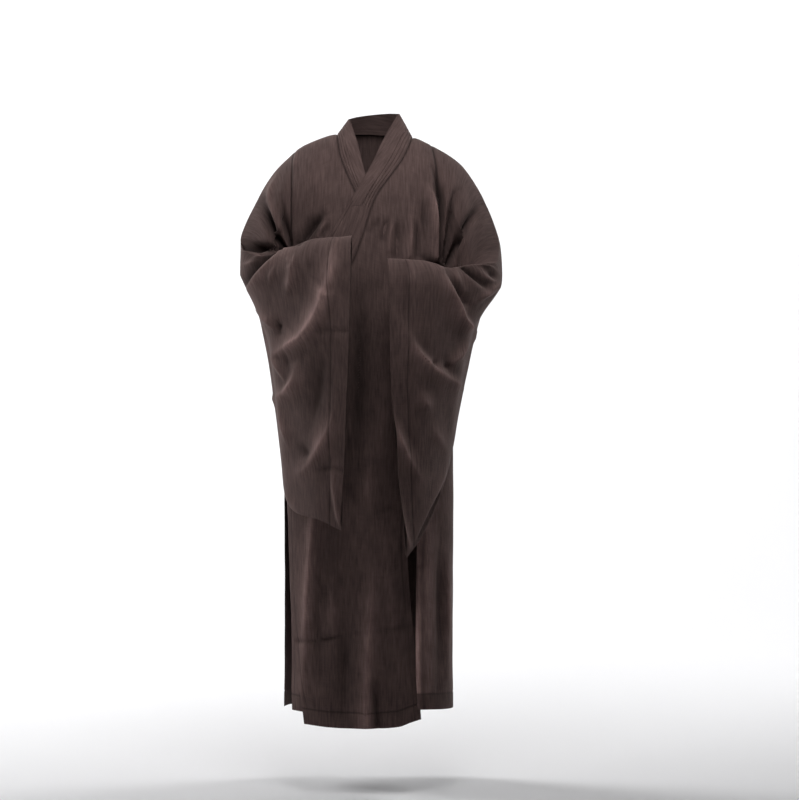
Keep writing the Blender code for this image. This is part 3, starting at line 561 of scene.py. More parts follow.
def crown(x, behind):
    """Depth and height of the top of the body at x: the shoulder ridge, or behind it the neck seam."""
    ridge = smooth(SHOULDER, "x", "z", x)
    across = np.clip((x - NECK_RIGHT_X) / (NECK_LEFT_X - NECK_RIGHT_X), 0.0, 1.0)
    bow = 1 - (2 * across - 1) ** 2
    ends = SHOULDER["z"][3] * (1 - across) + SHOULDER["z"][4] * across
    neck = behind & (across > 0) & (across < 1)
    top_y = np.where(neck, SHOULDER_Y + BACK_NECK_DEPTH * np.sqrt(bow), SHOULDER_Y)
    return top_y, np.where(neck, ends + BACK_NECK_RISE * bow, ridge)


def level(row, hem):
    """Height of this row where the hem below it has this height."""
    if row.share is None:
        return row.z + hem * 0.0
    if row.hem is not None:
        return hem + HEM_DEPTH * (1 - row.hem)
    return SLIT_TOP + (hem + HEM_DEPTH - SLIT_TOP) * row.share


def skin(degrees, row, hem=OUTER_HEM, inset=0.0):
    """Points of the body's skin this far round from the middle of the front, on one row."""
    degrees = np.atleast_1d(np.asarray(degrees, float))
    z = level(row, np.zeros_like(degrees) + hem)
    at = np.minimum(z, ROUND_FROM) if row.over == 0 else np.full_like(z, ROUND_FROM)
    power = 2 / smooth(BODY, "z", "square", at)
    side = np.sin(np.radians(degrees))
    facing = np.cos(np.radians(degrees))
    width = smooth(BODY, "z", "half_width", at) - inset
    x = smooth(BODY, "z", "centre_x", at) + np.sign(side) * width * np.abs(side) ** power
    reach = np.where(facing > 0, smooth(BODY, "z", "front", at), smooth(BODY, "z", "back", at)) - inset
    y = -np.sign(facing) * reach * np.abs(facing) ** power
    if row.over:
        top_y, top_z = crown(x, facing < 0)
        y = top_y + (y - top_y) * row.depth
        z = ROUND_FROM + (top_z - ROUND_FROM) * row.over
    return np.stack([x, y, z], axis=-1)


def across_share(x, z, inset):
    """How far out x lies on the body's section at z, as a share of its half width, and its squareness."""
    at = min(z, ROUND_FROM)
    half_width = smooth(BODY, "z", "half_width", at) - inset
    return (x - smooth(BODY, "z", "centre_x", at)) / half_width, smooth(BODY, "z", "square", at)


def degrees_at(x, row, inset=0.0):
    """How far round the front of a row this x lies."""
    share, square = across_share(x, row.z, inset)
    return math.degrees(math.copysign(math.asin(min(abs(share), 1.0) ** (square / 2)), share))


def line_degrees(line, row, inset=0.0):
    """Where a row of a front meets this seam or edge."""
    degrees = degrees_at(smooth(line, "z", "x", row.z), row, inset)
    for _ in range(SEAM_PASSES):
        z = skin(degrees, row, inset=inset)[0, 2]
        degrees = degrees_at(smooth(line, "z", "x", z), row, inset)
    return degrees


def chest_y(x, z, inset=0.0):
    """Depth of the front skin at a point of the chest."""
    share, square = across_share(x, z, inset)
    front = smooth(BODY, "z", "front", min(z, ROUND_FROM)) - inset
    y = -front * max(1 - abs(share) ** square, 0.0) ** (1 / square)
    if z <= ROUND_FROM:
        return y
    top_z = crown(np.array(x), np.array(False))[1]
    over = min((z - ROUND_FROM) / (top_z - ROUND_FROM), 1.0)
    return SHOULDER_Y + (y - SHOULDER_Y) * (1 - over**ROUND_POWER) ** (1 / ROUND_POWER)


def side_degrees(k, side, layer):
    """Edge of a panel at the wearer's side on row k: the armhole, the side seam or the slit."""
    if k <= UNDERARM_ROW:
        return float(smooth(ARMHOLE, "z", side + "_deg", ROWS[k].z))
    if k <= SLIT_ROW:
        layer = "front"
    slit = LEFT_SLIT if side == "left" else RIGHT_SLIT
    return float(smooth(slit, "z", layer + "_deg", ROWS[k].z))


def outer_front_grid():
    rows = []
    for k, row in enumerate(ROWS):
        edges = line_degrees(OUTER_LINE, row), side_degrees(k, "left", "front")
        degrees = np.linspace(*edges, FRONT_COLUMNS + 1)
        hem = smooth(OUTER_HEM_LINE, "x", "z", skin(degrees, row)[:, 0])
        rows.append(skin(degrees, row, hem))
    return np.array(rows)


def under_front_grid():
    rows = []
    for k, row in enumerate(ROWS):
        start = -side_degrees(k, "right", "front")
        degrees = np.linspace(start, line_degrees(UNDER_LINE, row, UNDER_INSET), FRONT_COLUMNS + 1)
        seam_degrees = -90.0 if k > UNDERARM_ROW else start
        free = k > SLIT_ROW + SLIT_EASE_ROWS
        full = 1.0 if free else ease((degrees - seam_degrees) / INSET_FADE_DEG)
        rows.append(skin(degrees, row, UNDER_HEM, UNDER_INSET * full))
    return np.array(rows)


def back_grid():
    """From the wearer's left edge round behind to the right edge."""
    neck_left = 180 - degrees_at(NECK_LEFT_X, ROWS[0])
    neck_right = 180 - degrees_at(NECK_RIGHT_X, ROWS[0])
    rows = []
    for k, row in enumerate(ROWS):
        left = side_degrees(k, "left", "back")
        right = 360 - side_degrees(k, "right", "back")
        if k <= UNDERARM_ROW:  # the armhole's degrees count to its front, and these to its back
            left = 180 - left
            right = 540 - right
        stops = np.concatenate([
            np.linspace(left, neck_left, BACK_COLUMNS + 1),
            np.linspace(neck_left, neck_right, NECK_COLUMNS + 1)[1:],
            np.linspace(neck_right, right, BACK_COLUMNS + 1)[1:],
        ])
        under = ease(1 - (stops - left) / UNDERLAP_DEG) * (k > SLIT_ROW)
        under = under * ease((SLIT_TOP - row.z) / UNDERLAP_RUN)
        rows.append(skin(stops, row, smooth(BACK_HEM, "deg", "z", stops), UNDERLAP_INSET * under))
    return np.array(rows)


def sleeve_loop(cut, s, shares):
    """One hanging loop of a sleeve, down the layer next to the body and up the outer layer."""
    order = {"s": np.arange(len(cut["top_x"]), dtype=float), **cut}
    here = {name: float(smooth(order, "s", name, s)) for name in cut}
    top = np.array([here["top_x"], here["top_y"]])
    low = np.array([here["low_x"], here["low_y"]])
    height = here["top_z"] - here["low_z"]
    arm = here["drop"] / height
    on_arm = (shares < arm)[:, None]
    bend = np.sqrt(1 - (1 - np.minimum(shares / arm, 1.0)) ** 2)[:, None]
    layers = []
    for layer in ("in", "out"):
        beside = np.array([here[layer + "_x"], here[layer + "_y"]])
        middle = np.array([here["mid_" + layer + "_x"], here["mid_" + layer + "_y"]])
        fan = table("t x y", (arm, *beside), (MID_LEVEL, *middle), (1.0, *low))
        hung = np.stack([smooth(fan, "t", "x", shares), smooth(fan, "t", "y", shares)], axis=-1)
        plan = np.where(on_arm, top + (beside - top) * bend, hung)
        layers.append(np.column_stack([plan, here["top_z"] - height * shares]))
    inner, outer = layers
    return np.concatenate([inner, outer[-2:0:-1]])


# Rings along a sleeve, counted in sections, closer together at the stitched line of the cuff.
LAST_SECTION = len(SLEEVE_RIGHT["top_x"]) - 1
CUFF_PLACE = LAST_SECTION - CUFF_SHARE
CUFF_GROOVE = 0.02
SLEEVE_PLACES = np.unique([
    *np.linspace(0, LAST_SECTION, LAST_SECTION * RINGS_PER_SECTION + 1),
    *(CUFF_PLACE - CUFF_GROOVE, CUFF_PLACE, CUFF_PLACE + CUFF_GROOVE),
])


def sleeve_grid(cut, armhole):
    """Loops from the armhole to the mouth; the first is the armhole itself."""
    inner = len(armhole) // 2 + 1
    shares = (armhole[0, 2] - armhole[:inner, 2]) / (armhole[0, 2] - armhole[inner - 1, 2])
    first = sleeve_loop(cut, 0.0, shares)
    loops = []
    for s in SLEEVE_PLACES:
        loop = sleeve_loop(cut, s, shares)
        loops.append(loop + (armhole - first) * max(1 - s, 0.0) ** 2)
    return np.array(loops)


def neck_edge(seam, line, inset=0.0):
    """Point of the collar's neck edge beside this point of its seam."""
    x, z, forward = (float(smooth(line, "seam_z", name, seam[2])) for name in ("x", "z", "forward"))
    return np.array([x, chest_y(x, z, inset) - forward, z])


def evened(edges, columns):
    """Averages these columns of an edge's places with their neighbours'."""
    edges[1:-1, columns] = (edges[:-2, columns] + 2 * edges[1:-1, columns] + edges[2:, columns]) / 4


def collar_grid(outer, under, back):
    """Strips across the collar, from the outer front's end round the neck to the under front's end."""
    seams = [outer[k, 0] for k in range(UNDERARM_ROW, -1, -1)]
    edges = [neck_edge(seam, OUTER_EDGE) for seam in seams]
    left_top = edges[-1]
    right_top = np.array([UNDER_EDGE["x"][-1], SHOULDER_Y, UNDER_EDGE["z"][-1]])
    for c in range(1, NECK_COLUMNS):
        across = c / NECK_COLUMNS
        bow = 1 - (2 * across - 1) ** 2
        seams.append(back[0, BACK_COLUMNS + c])
        behind = np.array([0.0, BACK_EDGE_DEPTH * math.sqrt(bow), BACK_EDGE_RISE * bow])
        edges.append(left_top + (right_top - left_top) * across + behind)
    for seam in under[: UNDER_COLLAR_ROWS + 1, -1]:
        seams.append(seam)
        edges.append(neck_edge(seam, UNDER_EDGE, UNDER_INSET))
    edges = np.array(edges)
    for _ in range(EDGE_SMOOTHING):
        evened(edges, [1])
    for _ in range(OUTLINE_SMOOTHING):
        evened(edges, [0, 1, 2])
    share = COLLAR_SHARES[:, None]
    return np.array([seam + (edge - seam) * share for seam, edge in zip(seams, edges)])


def grid_normals(grid, wraps):
    """Outward normal at every point of one grid."""
    right = np.roll(grid, -1, axis=1) if wraps else grid[:, 1:]
    here = grid if wraps else grid[:, :-1]
    face = np.cross(right[1:] - here[:-1], right[:-1] - here[1:])
    total = np.zeros_like(grid)
    columns = face.shape[1]
    after = (np.arange(columns) + 1) % grid.shape[1]
    total[:-1, :columns] += face
    total[1:, :columns] += face
    total[:-1, after] += face
    total[1:, after] += face
    return unit(total)


def shared_normals(grids):
    """Normals of every grid's points; where pieces meet, body, sleeve and collar each have one voice."""
    points = np.concatenate([grid.reshape(-1, 3) for grid, _ in grids.values()])
    _, key = np.unique(np.round(points * STEPS_A_METRE).astype(int), axis=0, return_inverse=True)
    ends = np.cumsum([grid[..., 0].size for grid, _ in grids.values()])
    keys = dict(zip(grids, np.split(key.reshape(-1), ends[:-1])))
    voices = {}
    for name, (grid, wraps) in grids.items():
        group = name.split("_")[0].replace("back", "front")
        heard = voices.setdefault(group, np.zeros((key.max() + 1, 3)))
        np.add.at(heard, keys[name], grid_normals(grid, wraps).reshape(-1, 3))
    total = unit(sum(unit(heard) for heard in voices.values()))
    return {name: total[keys[name]].reshape(grid.shape) for name, (grid, _) in grids.items()}


# A crease's crest is this narrow, its flanks reach so many widths and fade there, and it grows and
# fades over these shares of its length. Cloth that turns away from the front takes less of it.
CREST = 0.0035
CREASE_REACH = 3.4
REACH_FADE = 1.6
FADE_IN = 0.55
FADE_OUT = 0.45
FACING = 0.50
ARC_POINTS = 18

# Painted shade in the creases' troughs and painted highlight on their crests: the height that paints them
# fully, the most they are painted, and the painted shade over the cloth's inside face.
FOLD_FULL = 0.012
FOLD_LIMIT = 1.2
INSIDE_SHADE = -0.5


def arc_points(row):
    """Points along the arc of one crease, in x and z."""
    start = np.array([row["x"], row["z"]])
    end = np.array([row["end_x"], row["end_z"]])
    control = 2 * np.array([row["mid_x"], row["mid_z"]]) - (start + end) / 2
    t = np.linspace(0, 1, ARC_POINTS)[:, None]
    return start * (1 - t) ** 2 + control * 2 * t * (1 - t) + end * t**2


def crease_height(points, folds):
    """How far a table of creases raises each point: a narrow crest, with flanks that fall away hollow."""
    flat = points.reshape(-1, 3)[:, [0, 2]]
    ridges = np.zeros(len(flat))
    troughs = np.zeros(len(flat))
    for values in zip(*folds.values()):
        row = dict(zip(folds, values))
        arc = arc_points(row)
        reach = CREASE_REACH * max(row["side"], row["other"])
        near = np.all((flat > arc.min(0) - reach) & (flat < arc.max(0) + reach), axis=1)
        if not near.any():
            continue
        spot = flat[near][:, None, :]
        step = np.diff(arc, axis=0)
        share = np.clip(((spot - arc[:-1]) * step).sum(-1) / (step**2).sum(-1), 0, 1)
        away = spot - (arc[:-1] + step * share[..., None])
        distance = np.linalg.norm(away, axis=-1)
        best = distance.argmin(axis=1)
        pick = np.arange(len(best))
        turn = step[best, 0] * away[pick, best, 1] - step[best, 1] * away[pick, best, 0]
        width = np.where(turn > 0, row["side"], row["other"])
        run = (best + share[pick, best]) / len(step)
        strength = row["start"] + (1 - row["start"]) * ease(run / FADE_IN)
        strength *= row["end"] + (1 - row["end"]) * ease((1 - run) / FADE_OUT)
        away = np.hypot(distance[pick, best], CREST) - CREST
        fall = np.exp(-away / width) * ease(REACH_FADE * (1 - away / (CREASE_REACH * width)))
        rise = row["height"] * strength * fall
        ridges[near] = np.maximum(ridges[near], rise)
        troughs[near] = np.minimum(troughs[near], rise)
    return (ridges + troughs).reshape(points.shape[:-1])


# Points of a sleeve's loop over which its layers' creases fade at its folds, as one part in so many.
LAYER_FADE = 60


def layer_shares(columns):
    """For the points round a sleeve's loop: 1 on its outer layer, and 1 on its inner one."""
    place = np.arange(columns) / columns
    outer = ease(np.minimum(place - 0.5, 1 - place) * LAYER_FADE)
    return outer, ease(np.minimum(place, 0.5 - place) * LAYER_FADE)


def crease_layers(name, grid):
    """The crease tables that lie on a panel, each with the share of it that each point takes."""
    if name == "collar_band":
        return []
    if name == "back":
        return [("back", 1.0), ("rear", 1.0)]
    if name.startswith("front"):
        return [("fronts", 1.0), ("upper", 1.0)]
    outer, inner = layer_shares(grid.shape[1])
    if name == "sleeve_left":
        outer, inner = (np.roll(share[::-1], 1) for share in (outer, inner))
    before = grid[..., 1] < SHOULDER_Y
    return [(name, outer), (name + "_inner", inner), ("upper", before), ("rear", ~before)]


# Slow waves of hanging cloth, each two crossed waves: radians a metre along x, y and z, and where
# they start, for both, and their share of the height.
WAVES = (
    ((31, 9, 5), 1.3, (-13, 0, 11), 0.7, 1.0),
    ((53, -9, -7), 2.1, (17, 0, 19), 4.0, 0.6),
    ((97, 41, 23), 0.0, (-29, 0, 37), 1.0, 0.35),
)


def gentle_waves(grid, size):
    total = 0.0
    for along, start, across, second_start, share in WAVES:
        total = total + share * np.sin(grid @ along + start) * np.sin(grid @ across + second_start)
    return total * size


# One panel as laid out: its creased grid, its normals, whether it closes round on itself, the painted shade
# and highlight each point takes from how far it is raised or folded in, and its grid before the creases.
Panel = namedtuple("Panel", "grid normals wraps fold plain")
PANELS = {}


def robe_panels():
    """Every panel of the robe, creased, laid out once."""
    if PANELS:
        return PANELS
    cloth = bpy.context.scene.robe_cloth
    outer = outer_front_grid()
    under = under_front_grid()
    back = back_grid()
    behind = slice(UNDERARM_ROW - 1, 0, -1)
    right_armhole = np.concatenate([under[: UNDERARM_ROW + 1, 0], back[behind, -1]])
    left_armhole = np.concatenate([outer[: UNDERARM_ROW + 1, -1], back[behind, 0]])
    sleeve_left = sleeve_grid(SLEEVE_LEFT, left_armhole)
    grids = {
        "front_left": (outer, False),
        "front_right": (under, False),
        "back": (back, False),
        "sleeve_right": (sleeve_grid(SLEEVE_RIGHT, right_armhole), True),
        "sleeve_left": (np.roll(sleeve_left[:, ::-1], 1, axis=1), True),
        "collar_band": (collar_grid(outer, under, back), False),
    }
    normals = shared_normals(grids)
    for name, (grid, wraps) in grids.items():
        facing = ease(np.abs(normals[name][..., 1]) / FACING) * cloth.crease
        creased = np.zeros(grid.shape[:2])
        for layer, share in crease_layers(name, grid):
            creased += crease_height(grid, CREASES[layer]) * share * facing
        rise = creased + gentle_waves(grid, cloth.wave)
        # Painted shade in the creases' troughs and painted highlight on their crests, from their height.
        fold = np.clip(creased / FOLD_FULL, -FOLD_LIMIT, FOLD_LIMIT)
        PANELS[name] = Panel(grid + normals[name] * rise[..., None], normals[name], wraps, fold, grid)
    return PANELS


# ---- Making meshes ----

# Edges sharper than this stay crisp. Where a loop of a sleeve closes, its cloth map jumps by more than
# this step, from above this height to far below it, and is carried on past the end instead.
SHARP_DEG = 60
UV_SEAM_STEP = 0.2
UV_SEAM_TOP = -0.1

# Thread of one stitch: from stitch to stitch, its length, its width and how far it stands up.
PITCH = 0.0036
STITCH_LENGTH = 0.0026
THREAD_WIDTH = 0.0007
THREAD_HEIGHT = 0.00022


def arcs(grid, axis):
    """Distance along the cloth from the first row (axis 0) or the first column (axis 1)."""
    steps = np.linalg.norm(np.diff(grid, axis=axis), axis=-1)
    start = np.zeros_like(grid[:1, :, 0] if axis == 0 else grid[:, :1, 0])
    return np.concatenate([start, np.cumsum(steps, axis=axis)], axis=axis)


def body_cloth_map(grid):
    """Warp straight down the panel: across from the middle, and down from the shoulder."""
    across = arcs(grid, 1)
    middle = np.abs(grid[..., 0]).argmin(axis=1)[:, None]
    from_middle = across - np.take_along_axis(across, middle, 1)
    return np.stack([from_middle + np.take_along_axis(grid[..., 0], middle, 1), -arcs(grid, 0)], axis=-1)


def sleeve_cloth_map(grid):
    """Warp round the loops: along the sleeve from its mouth, and down from the top of the arm."""
    along = arcs(grid, 0).mean(axis=1, keepdims=True)
    return np.stack([along[-1] - along + np.zeros(grid.shape[:2]), -arcs(grid, 1)], axis=-1)


def collar_cloth_map(grid):
    return np.stack([arcs(grid, 1), arcs(grid, 0)], axis=-1)


def added_object(name, verts, faces, material):
    mesh = bpy.data.meshes.new(name)
    mesh.from_pydata(verts, [], faces)
    mesh.shade_smooth()
    mesh.materials.append(material)
    obj = bpy.data.objects.new(name, mesh)
    bpy.context.scene.collection.objects.link(obj)
    return obj


def shell_faces(rows, columns, wraps):
    """Quads of a grid's outer face, of its inner face and of the rims that close them."""
    index = np.arange(rows * columns).reshape(rows, columns)
    right = np.roll(index, -1, axis=1) if wraps else index[:, 1:]
    here = index if wraps else index[:, :-1]
    face = np.stack([here[:-1], here[1:], right[1:], right[:-1]], axis=-1).reshape(-1, 4)
    edges = [(here[0], right[0]), (right[-1], here[-1])]
    if not wraps:
        edges += [(index[1:, 0], index[:-1, 0]), (index[:-1, -1], index[1:, -1])]
    rims = [np.stack([a, b, b + rows * columns, a + rows * columns], axis=-1) for a, b in edges]
    return np.concatenate([face, face[:, ::-1] + rows * columns, *rims])


def shell_object(name, outside, inside, wraps, cloth_map, fold):
    """A closed thin shell between two grids, with its cloth map and the painted shade and highlight of each
    point.
    """
    rows, columns = outside.shape[:2]
    faces = shell_faces(rows, columns, wraps)
    verts = np.concatenate([outside.reshape(-1, 3), inside.reshape(-1, 3)])
    obj = added_object(name, verts.tolist(), faces.tolist(), robe_cloth())
    uv = cloth_map.reshape(-1, 2)[faces.reshape(-1) % (rows * columns)].reshape(-1, 4, 2)
    if wraps:
        length = np.linalg.norm(outside[:, 0] - outside[:, -1], axis=-1).mean()
        seam = np.ptp(uv[:, :, 1], axis=1) > UV_SEAM_STEP
        down = uv[seam, :, 1]
        uv[seam, :, 1] = np.where(down > UV_SEAM_TOP, down.min(axis=1, keepdims=True) - length, down)
    obj.data.uv_layers.new(name="cloth").data.foreach_set("uv", uv.reshape(-1))
    # Painted shade and highlight on the outer face; the whole inner face takes painted shade.
    raised = obj.data.attributes.new("fold", "FLOAT", "POINT")
    raised.data.foreach_set("value", np.concatenate([fold.reshape(-1), np.full(fold.size, INSIDE_SHADE)]))
    obj.data.set_sharp_from_angle(angle=math.radians(SHARP_DEG))
    return obj


def dip(distance, depth, width):
    """Depth of a sewn line at this distance from it."""
    return depth * np.exp(-((distance / width) ** 2))


def line_on(panel, where, axis, first_row=0):
    """Points and normals along the line where a distance map rises through zero along the axis."""
    points = []
    surface = panel.grid + panel.normals * (WALL - STITCH_DEPTH)
    layers = [layer[first_row:] for layer in (surface, panel.normals, where)]
    if axis == 0:
        layers = [np.swapaxes(layer, 0, 1) for layer in layers]
    for line, normal, value in zip(*layers):
        crossing = np.nonzero((value[:-1] < 0) & (value[1:] >= 0))[0]
        if len(crossing) == 0:
            continue
        j = crossing[0]
        share = value[j] / (value[j] - value[j + 1])
        points.append(np.concatenate([line[j] + (line[j + 1] - line[j]) * share, normal[j]]))
    return np.array(points)


def stitch(start, end, normal):
    """Corners of one raised thread from start to end."""
    along = (end - start) / np.linalg.norm(end - start)
    aside = np.cross(normal, along) * THREAD_WIDTH / 2
    middle = (start + end) / 2
    up = normal * THREAD_HEIGHT
    return [start - up, end - up, middle + aside - up, middle - aside - up, middle + up]


def sewn(name, lines):
    """Short raised threads along lines of points and normals, riding on the robe."""
    verts = []
    faces = []
    for line in [line for line in lines if len(line) > 1]:
        run = np.append(0, np.cumsum(np.linalg.norm(np.diff(line[:, :3], axis=0), axis=1)))
        for place in np.arange(PITCH * 0.5, run[-1] - PITCH, PITCH):
            stops = (place, place + STITCH_LENGTH)
            start, end = np.array([[np.interp(at, run, line[:, c]) for c in range(6)] for at in stops])
            base = len(verts)
            verts += stitch(start[:3], end[:3], unit(start[3:]))
            for face in ((0, 2, 4), (2, 1, 4), (1, 3, 4), (3, 0, 4), (0, 3, 1, 2)):
                faces.append(tuple(base + v for v in face))
    obj = added_object(name, [tuple(v) for v in verts], faces, thread())
    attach(obj, "root")


# ---- Finish ----

# Noise over the cloth: changes a metre across and along it, and its detail.
NOISE = {
    "warp": ((900.0, 40.0), 2.0),
    "weft": ((26.0, 900.0), 1.0),
    "slub": ((270.0, 24.0), 2.0),
    "pucker": ((60.0, 34.0), 3.0),
    "mottle": ((26.0, 18.0), 3.0),
}

# How much of the threads each noise makes, and of the shade the threads and the dye's mottling do.
THREAD_SHARES = {"warp": 0.35, "weft": 0.25, "slub": 0.70}
THREAD_SHADE = 0.8
MOTTLE_SHADE = 0.35
SHADE_FROM = 0.48
SHADE_TO = 0.93
PUCKER_HEIGHT = 3.2
# Base of the painted shade and highlight of the folds: the colour is scaled by it raised to each point's
# value.
FOLD_CONTRAST = 2.4
DULLEST = 0.92
SMOOTHEST = 0.78
BUMP_HEIGHT = 0.00042
NAP = {
    "Specular IOR Level": 0.12,
    "Sheen Weight": 0.14,
    "Sheen Roughness": 0.45,
    "Sheen Tint": (0.75, 0.55, 0.50, 1.0),
}
SEWING_SHARE = 0.9
SEWING_ROUGHNESS = 0.7


def new_group(name, inputs, outputs):
    """An empty shader group with named sockets: (name, kind, default)."""
    group = bpy.data.node_groups.new(name, "ShaderNodeTree")
    for label, kind, value in inputs:
        socket = group.interface.new_socket(name=label, in_out="INPUT", socket_type=kind)
        socket.default_value = value
    for label, kind in outputs:
        group.interface.new_socket(name=label, in_out="OUTPUT", socket_type=kind)
    return group, group.nodes.new("NodeGroupInput"), group.nodes.new("NodeGroupOutput")


def math_node(tree, operation, first, second):
    node = tree.nodes.new("ShaderNodeMath")
    node.operation = operation
    for socket, value in zip(node.inputs, (first, second)):
        if isinstance(value, (int, float)):
            socket.default_value = value
        else:
            tree.links.new(value, socket)
    return node.outputs[0]


def weighted(tree, *parts):
    """Sum of shader values, each times its share."""
    total = None
    for value, share in parts:
        part = math_node(tree, "MULTIPLY", value, share)
        total = math_node(tree, "ADD", total, part) if total else part
    return total


def ranged(tree, value, **limits):
    """A shader value taken from one range to another."""
    node = tree.nodes.new("ShaderNodeMapRange")
    for name, limit in limits.items():
        node.inputs[name.replace("_", " ").title()].default_value = limit
    tree.links.new(value, node.inputs["Value"])
    return node.outputs[0]


def noise_node(tree, vector, stretch, detail):
    """Noise over the cloth map, stretched to so many changes a metre across and along."""
    mapping = tree.nodes.new("ShaderNodeMapping")
    mapping.inputs["Scale"].default_value = (*stretch, 1.0)
    tree.links.new(vector, mapping.inputs["Vector"])
    noise = tree.nodes.new("ShaderNodeTexNoise")
    noise.inputs["Scale"].default_value = 1.0
    noise.inputs["Detail"].default_value = detail
    tree.links.new(mapping.outputs[0], noise.inputs["Vector"])
    return noise.outputs["Fac"]


def weave_group():
    """Slubbed plain weave: thick and thin warp threads, finer weft, slow mottling of the dye, and painted
    shade and highlight on the folds.
    """
    inputs = [
        ("Slub", "NodeSocketFloat", 1.0),
        ("Pucker", "NodeSocketFloat", 1.0),
        ("Light Cloth", "NodeSocketColor", (0.1, 0.08, 0.07, 1.0)),
        ("Dark Cloth", "NodeSocketColor", (0.05, 0.04, 0.035, 1.0)),
    ]
    outputs = [("Colour", "NodeSocketColor"), ("Height", "NodeSocketFloat"), ("Roughness", "NodeSocketFloat")]
    group, entry, leave = new_group("Slubbed weave", inputs, outputs)
    uv = group.nodes.new("ShaderNodeUVMap")
    uv.uv_map = "cloth"
    noise = {name: noise_node(group, uv.outputs[0], *look) for name, look in NOISE.items()}
    threads = weighted(group, *((noise[name], share) for name, share in THREAD_SHARES.items()))
    pucker = math_node(group, "MULTIPLY", noise["pucker"], PUCKER_HEIGHT)
    height = weighted(group, (threads, entry.outputs["Slub"]), (pucker, entry.outputs["Pucker"]))
    shade = weighted(group, (threads, THREAD_SHADE), (noise["mottle"], MOTTLE_SHADE))
    mix = group.nodes.new("ShaderNodeMix")
    mix.data_type = "RGBA"
    group.links.new(ranged(group, shade, from_min=SHADE_FROM, from_max=SHADE_TO), mix.inputs["Factor"])
    group.links.new(entry.outputs["Dark Cloth"], mix.inputs[6])
    group.links.new(entry.outputs["Light Cloth"], mix.inputs[7])
    # Painted shade and highlight: the colour is scaled by a power of FOLD_CONTRAST that each point's
    # attribute sets.
    fold = group.nodes.new("ShaderNodeAttribute")
    fold.attribute_name = "fold"
    fold_shaded = group.nodes.new("ShaderNodeVectorMath")
    fold_shaded.operation = "SCALE"
    group.links.new(mix.outputs[2], fold_shaded.inputs[0])
    group.links.new(math_node(group, "POWER", FOLD_CONTRAST, fold.outputs["Fac"]), fold_shaded.inputs["Scale"])
    dull = ranged(group, threads, to_min=DULLEST, to_max=SMOOTHEST)
    for name, value in (("Colour", fold_shaded.outputs[0]), ("Height", height), ("Roughness", dull)):
        group.links.new(value, leave.inputs[name])
    return group


def new_material(name):
    material = bpy.data.materials.new(name)
    material.use_nodes = True
    return material, material.node_tree.nodes["Principled BSDF"]


def robe_cloth():
    """Matt brown cloth with the slubbed weave, painted shade and highlight on its folds, and a soft nap, made
    once for all the panels.
    """
    made = bpy.data.materials.get("slubbed_cloth")
    if made:
        return made
    cloth = bpy.context.scene.robe_cloth
    material, shader = new_material("slubbed_cloth")
    tree = material.node_tree
    weave = tree.nodes.new("ShaderNodeGroup")
    weave.node_tree = weave_group()
    weave.inputs["Slub"].default_value = cloth.slub
    weave.inputs["Pucker"].default_value = cloth.pucker
    weave.inputs["Light Cloth"].default_value = (*cloth.light_colour, 1.0)
    weave.inputs["Dark Cloth"].default_value = (*cloth.dark_colour, 1.0)
    bumped = tree.nodes.new("ShaderNodeBump")
    bumped.inputs["Strength"].default_value = 1.0
    bumped.inputs["Distance"].default_value = BUMP_HEIGHT
    tree.links.new(weave.outputs["Colour"], shader.inputs["Base Color"])
    tree.links.new(weave.outputs["Roughness"], shader.inputs["Roughness"])
    tree.links.new(weave.outputs["Height"], bumped.inputs["Height"])
    tree.links.new(bumped.outputs[0], shader.inputs["Normal"])
    for name, value in NAP.items():
        shader.inputs[name].default_value = value
    return material


def plain_material(name, colour, roughness):
    material, shader = new_material(name)
    shader.inputs["Base Color"].default_value = (*colour, 1.0)
    shader.inputs["Roughness"].default_value = roughness
    return material


def thread():
    """Sewing thread of the cloth's own colour, a little darker."""
    made = bpy.data.materials.get("robe_thread")
    colour = [c * SEWING_SHARE for c in bpy.context.scene.robe_cloth.light_colour]
    return made or plain_material("robe_thread", colour, SEWING_ROUGHNESS)


# ---- Settings ----


class ROBE_PG_cloth(bpy.types.PropertyGroup):
    """What the cloth is like."""

    light_colour: FloatVectorProperty(
        name="Lit threads",
        description="Colour of the raised threads",
        subtype="COLOR",
        default=(0.118, 0.077, 0.071),
        min=0,
        max=1,
    )
    dark_colour: FloatVectorProperty(
        name="Deep threads",
        description="Colour between the threads",
        subtype="COLOR",
        default=(0.050, 0.032, 0.030),
        min=0,
        max=1,
    )
    thickness: FloatProperty(
        name="Thickness",
        description="Thickness of one layer of cloth",
        default=0.0010,
        min=0.0004,
        max=0.0017,
        unit="LENGTH",
    )
    crease: FloatProperty(
        name="Creases", description="Share of the listed height of every crease", default=1.55, min=0, max=2
    )
    wave: FloatProperty(
        name="Waves",
        description="Height of the slow waves of hanging cloth",
        default=0.0009,
        min=0,
        max=0.004,
        unit="LENGTH",
    )
    slub: FloatProperty(name="Slub", description="How uneven the threads are", default=1.0, min=0, max=3)
    pucker: FloatProperty(name="Pucker", description="Strength of fine puckers", default=0.2, min=0, max=3)


class ROBE_PG_studio(bpy.types.PropertyGroup):
    """The plain studio."""

    floor_height: FloatProperty(
        name="Floor", description="Height of the floor under the worn robe", default=-1.425, unit="LENGTH"
    )
    distance: FloatProperty(
        name="Camera distance", description="From the robe to the camera", default=4.25, unit="LENGTH"
    )
    lens: FloatProperty(name="Lens", description="Focal length in millimetres", default=87.0)
    light: FloatProperty(name="Light", description="Strength of the soft lights", default=22.0, min=0)
    ambient: FloatProperty(
        name="Ambient", description="Strength of the light from all round", default=0.01, min=0
    )


# ---- Operators ----

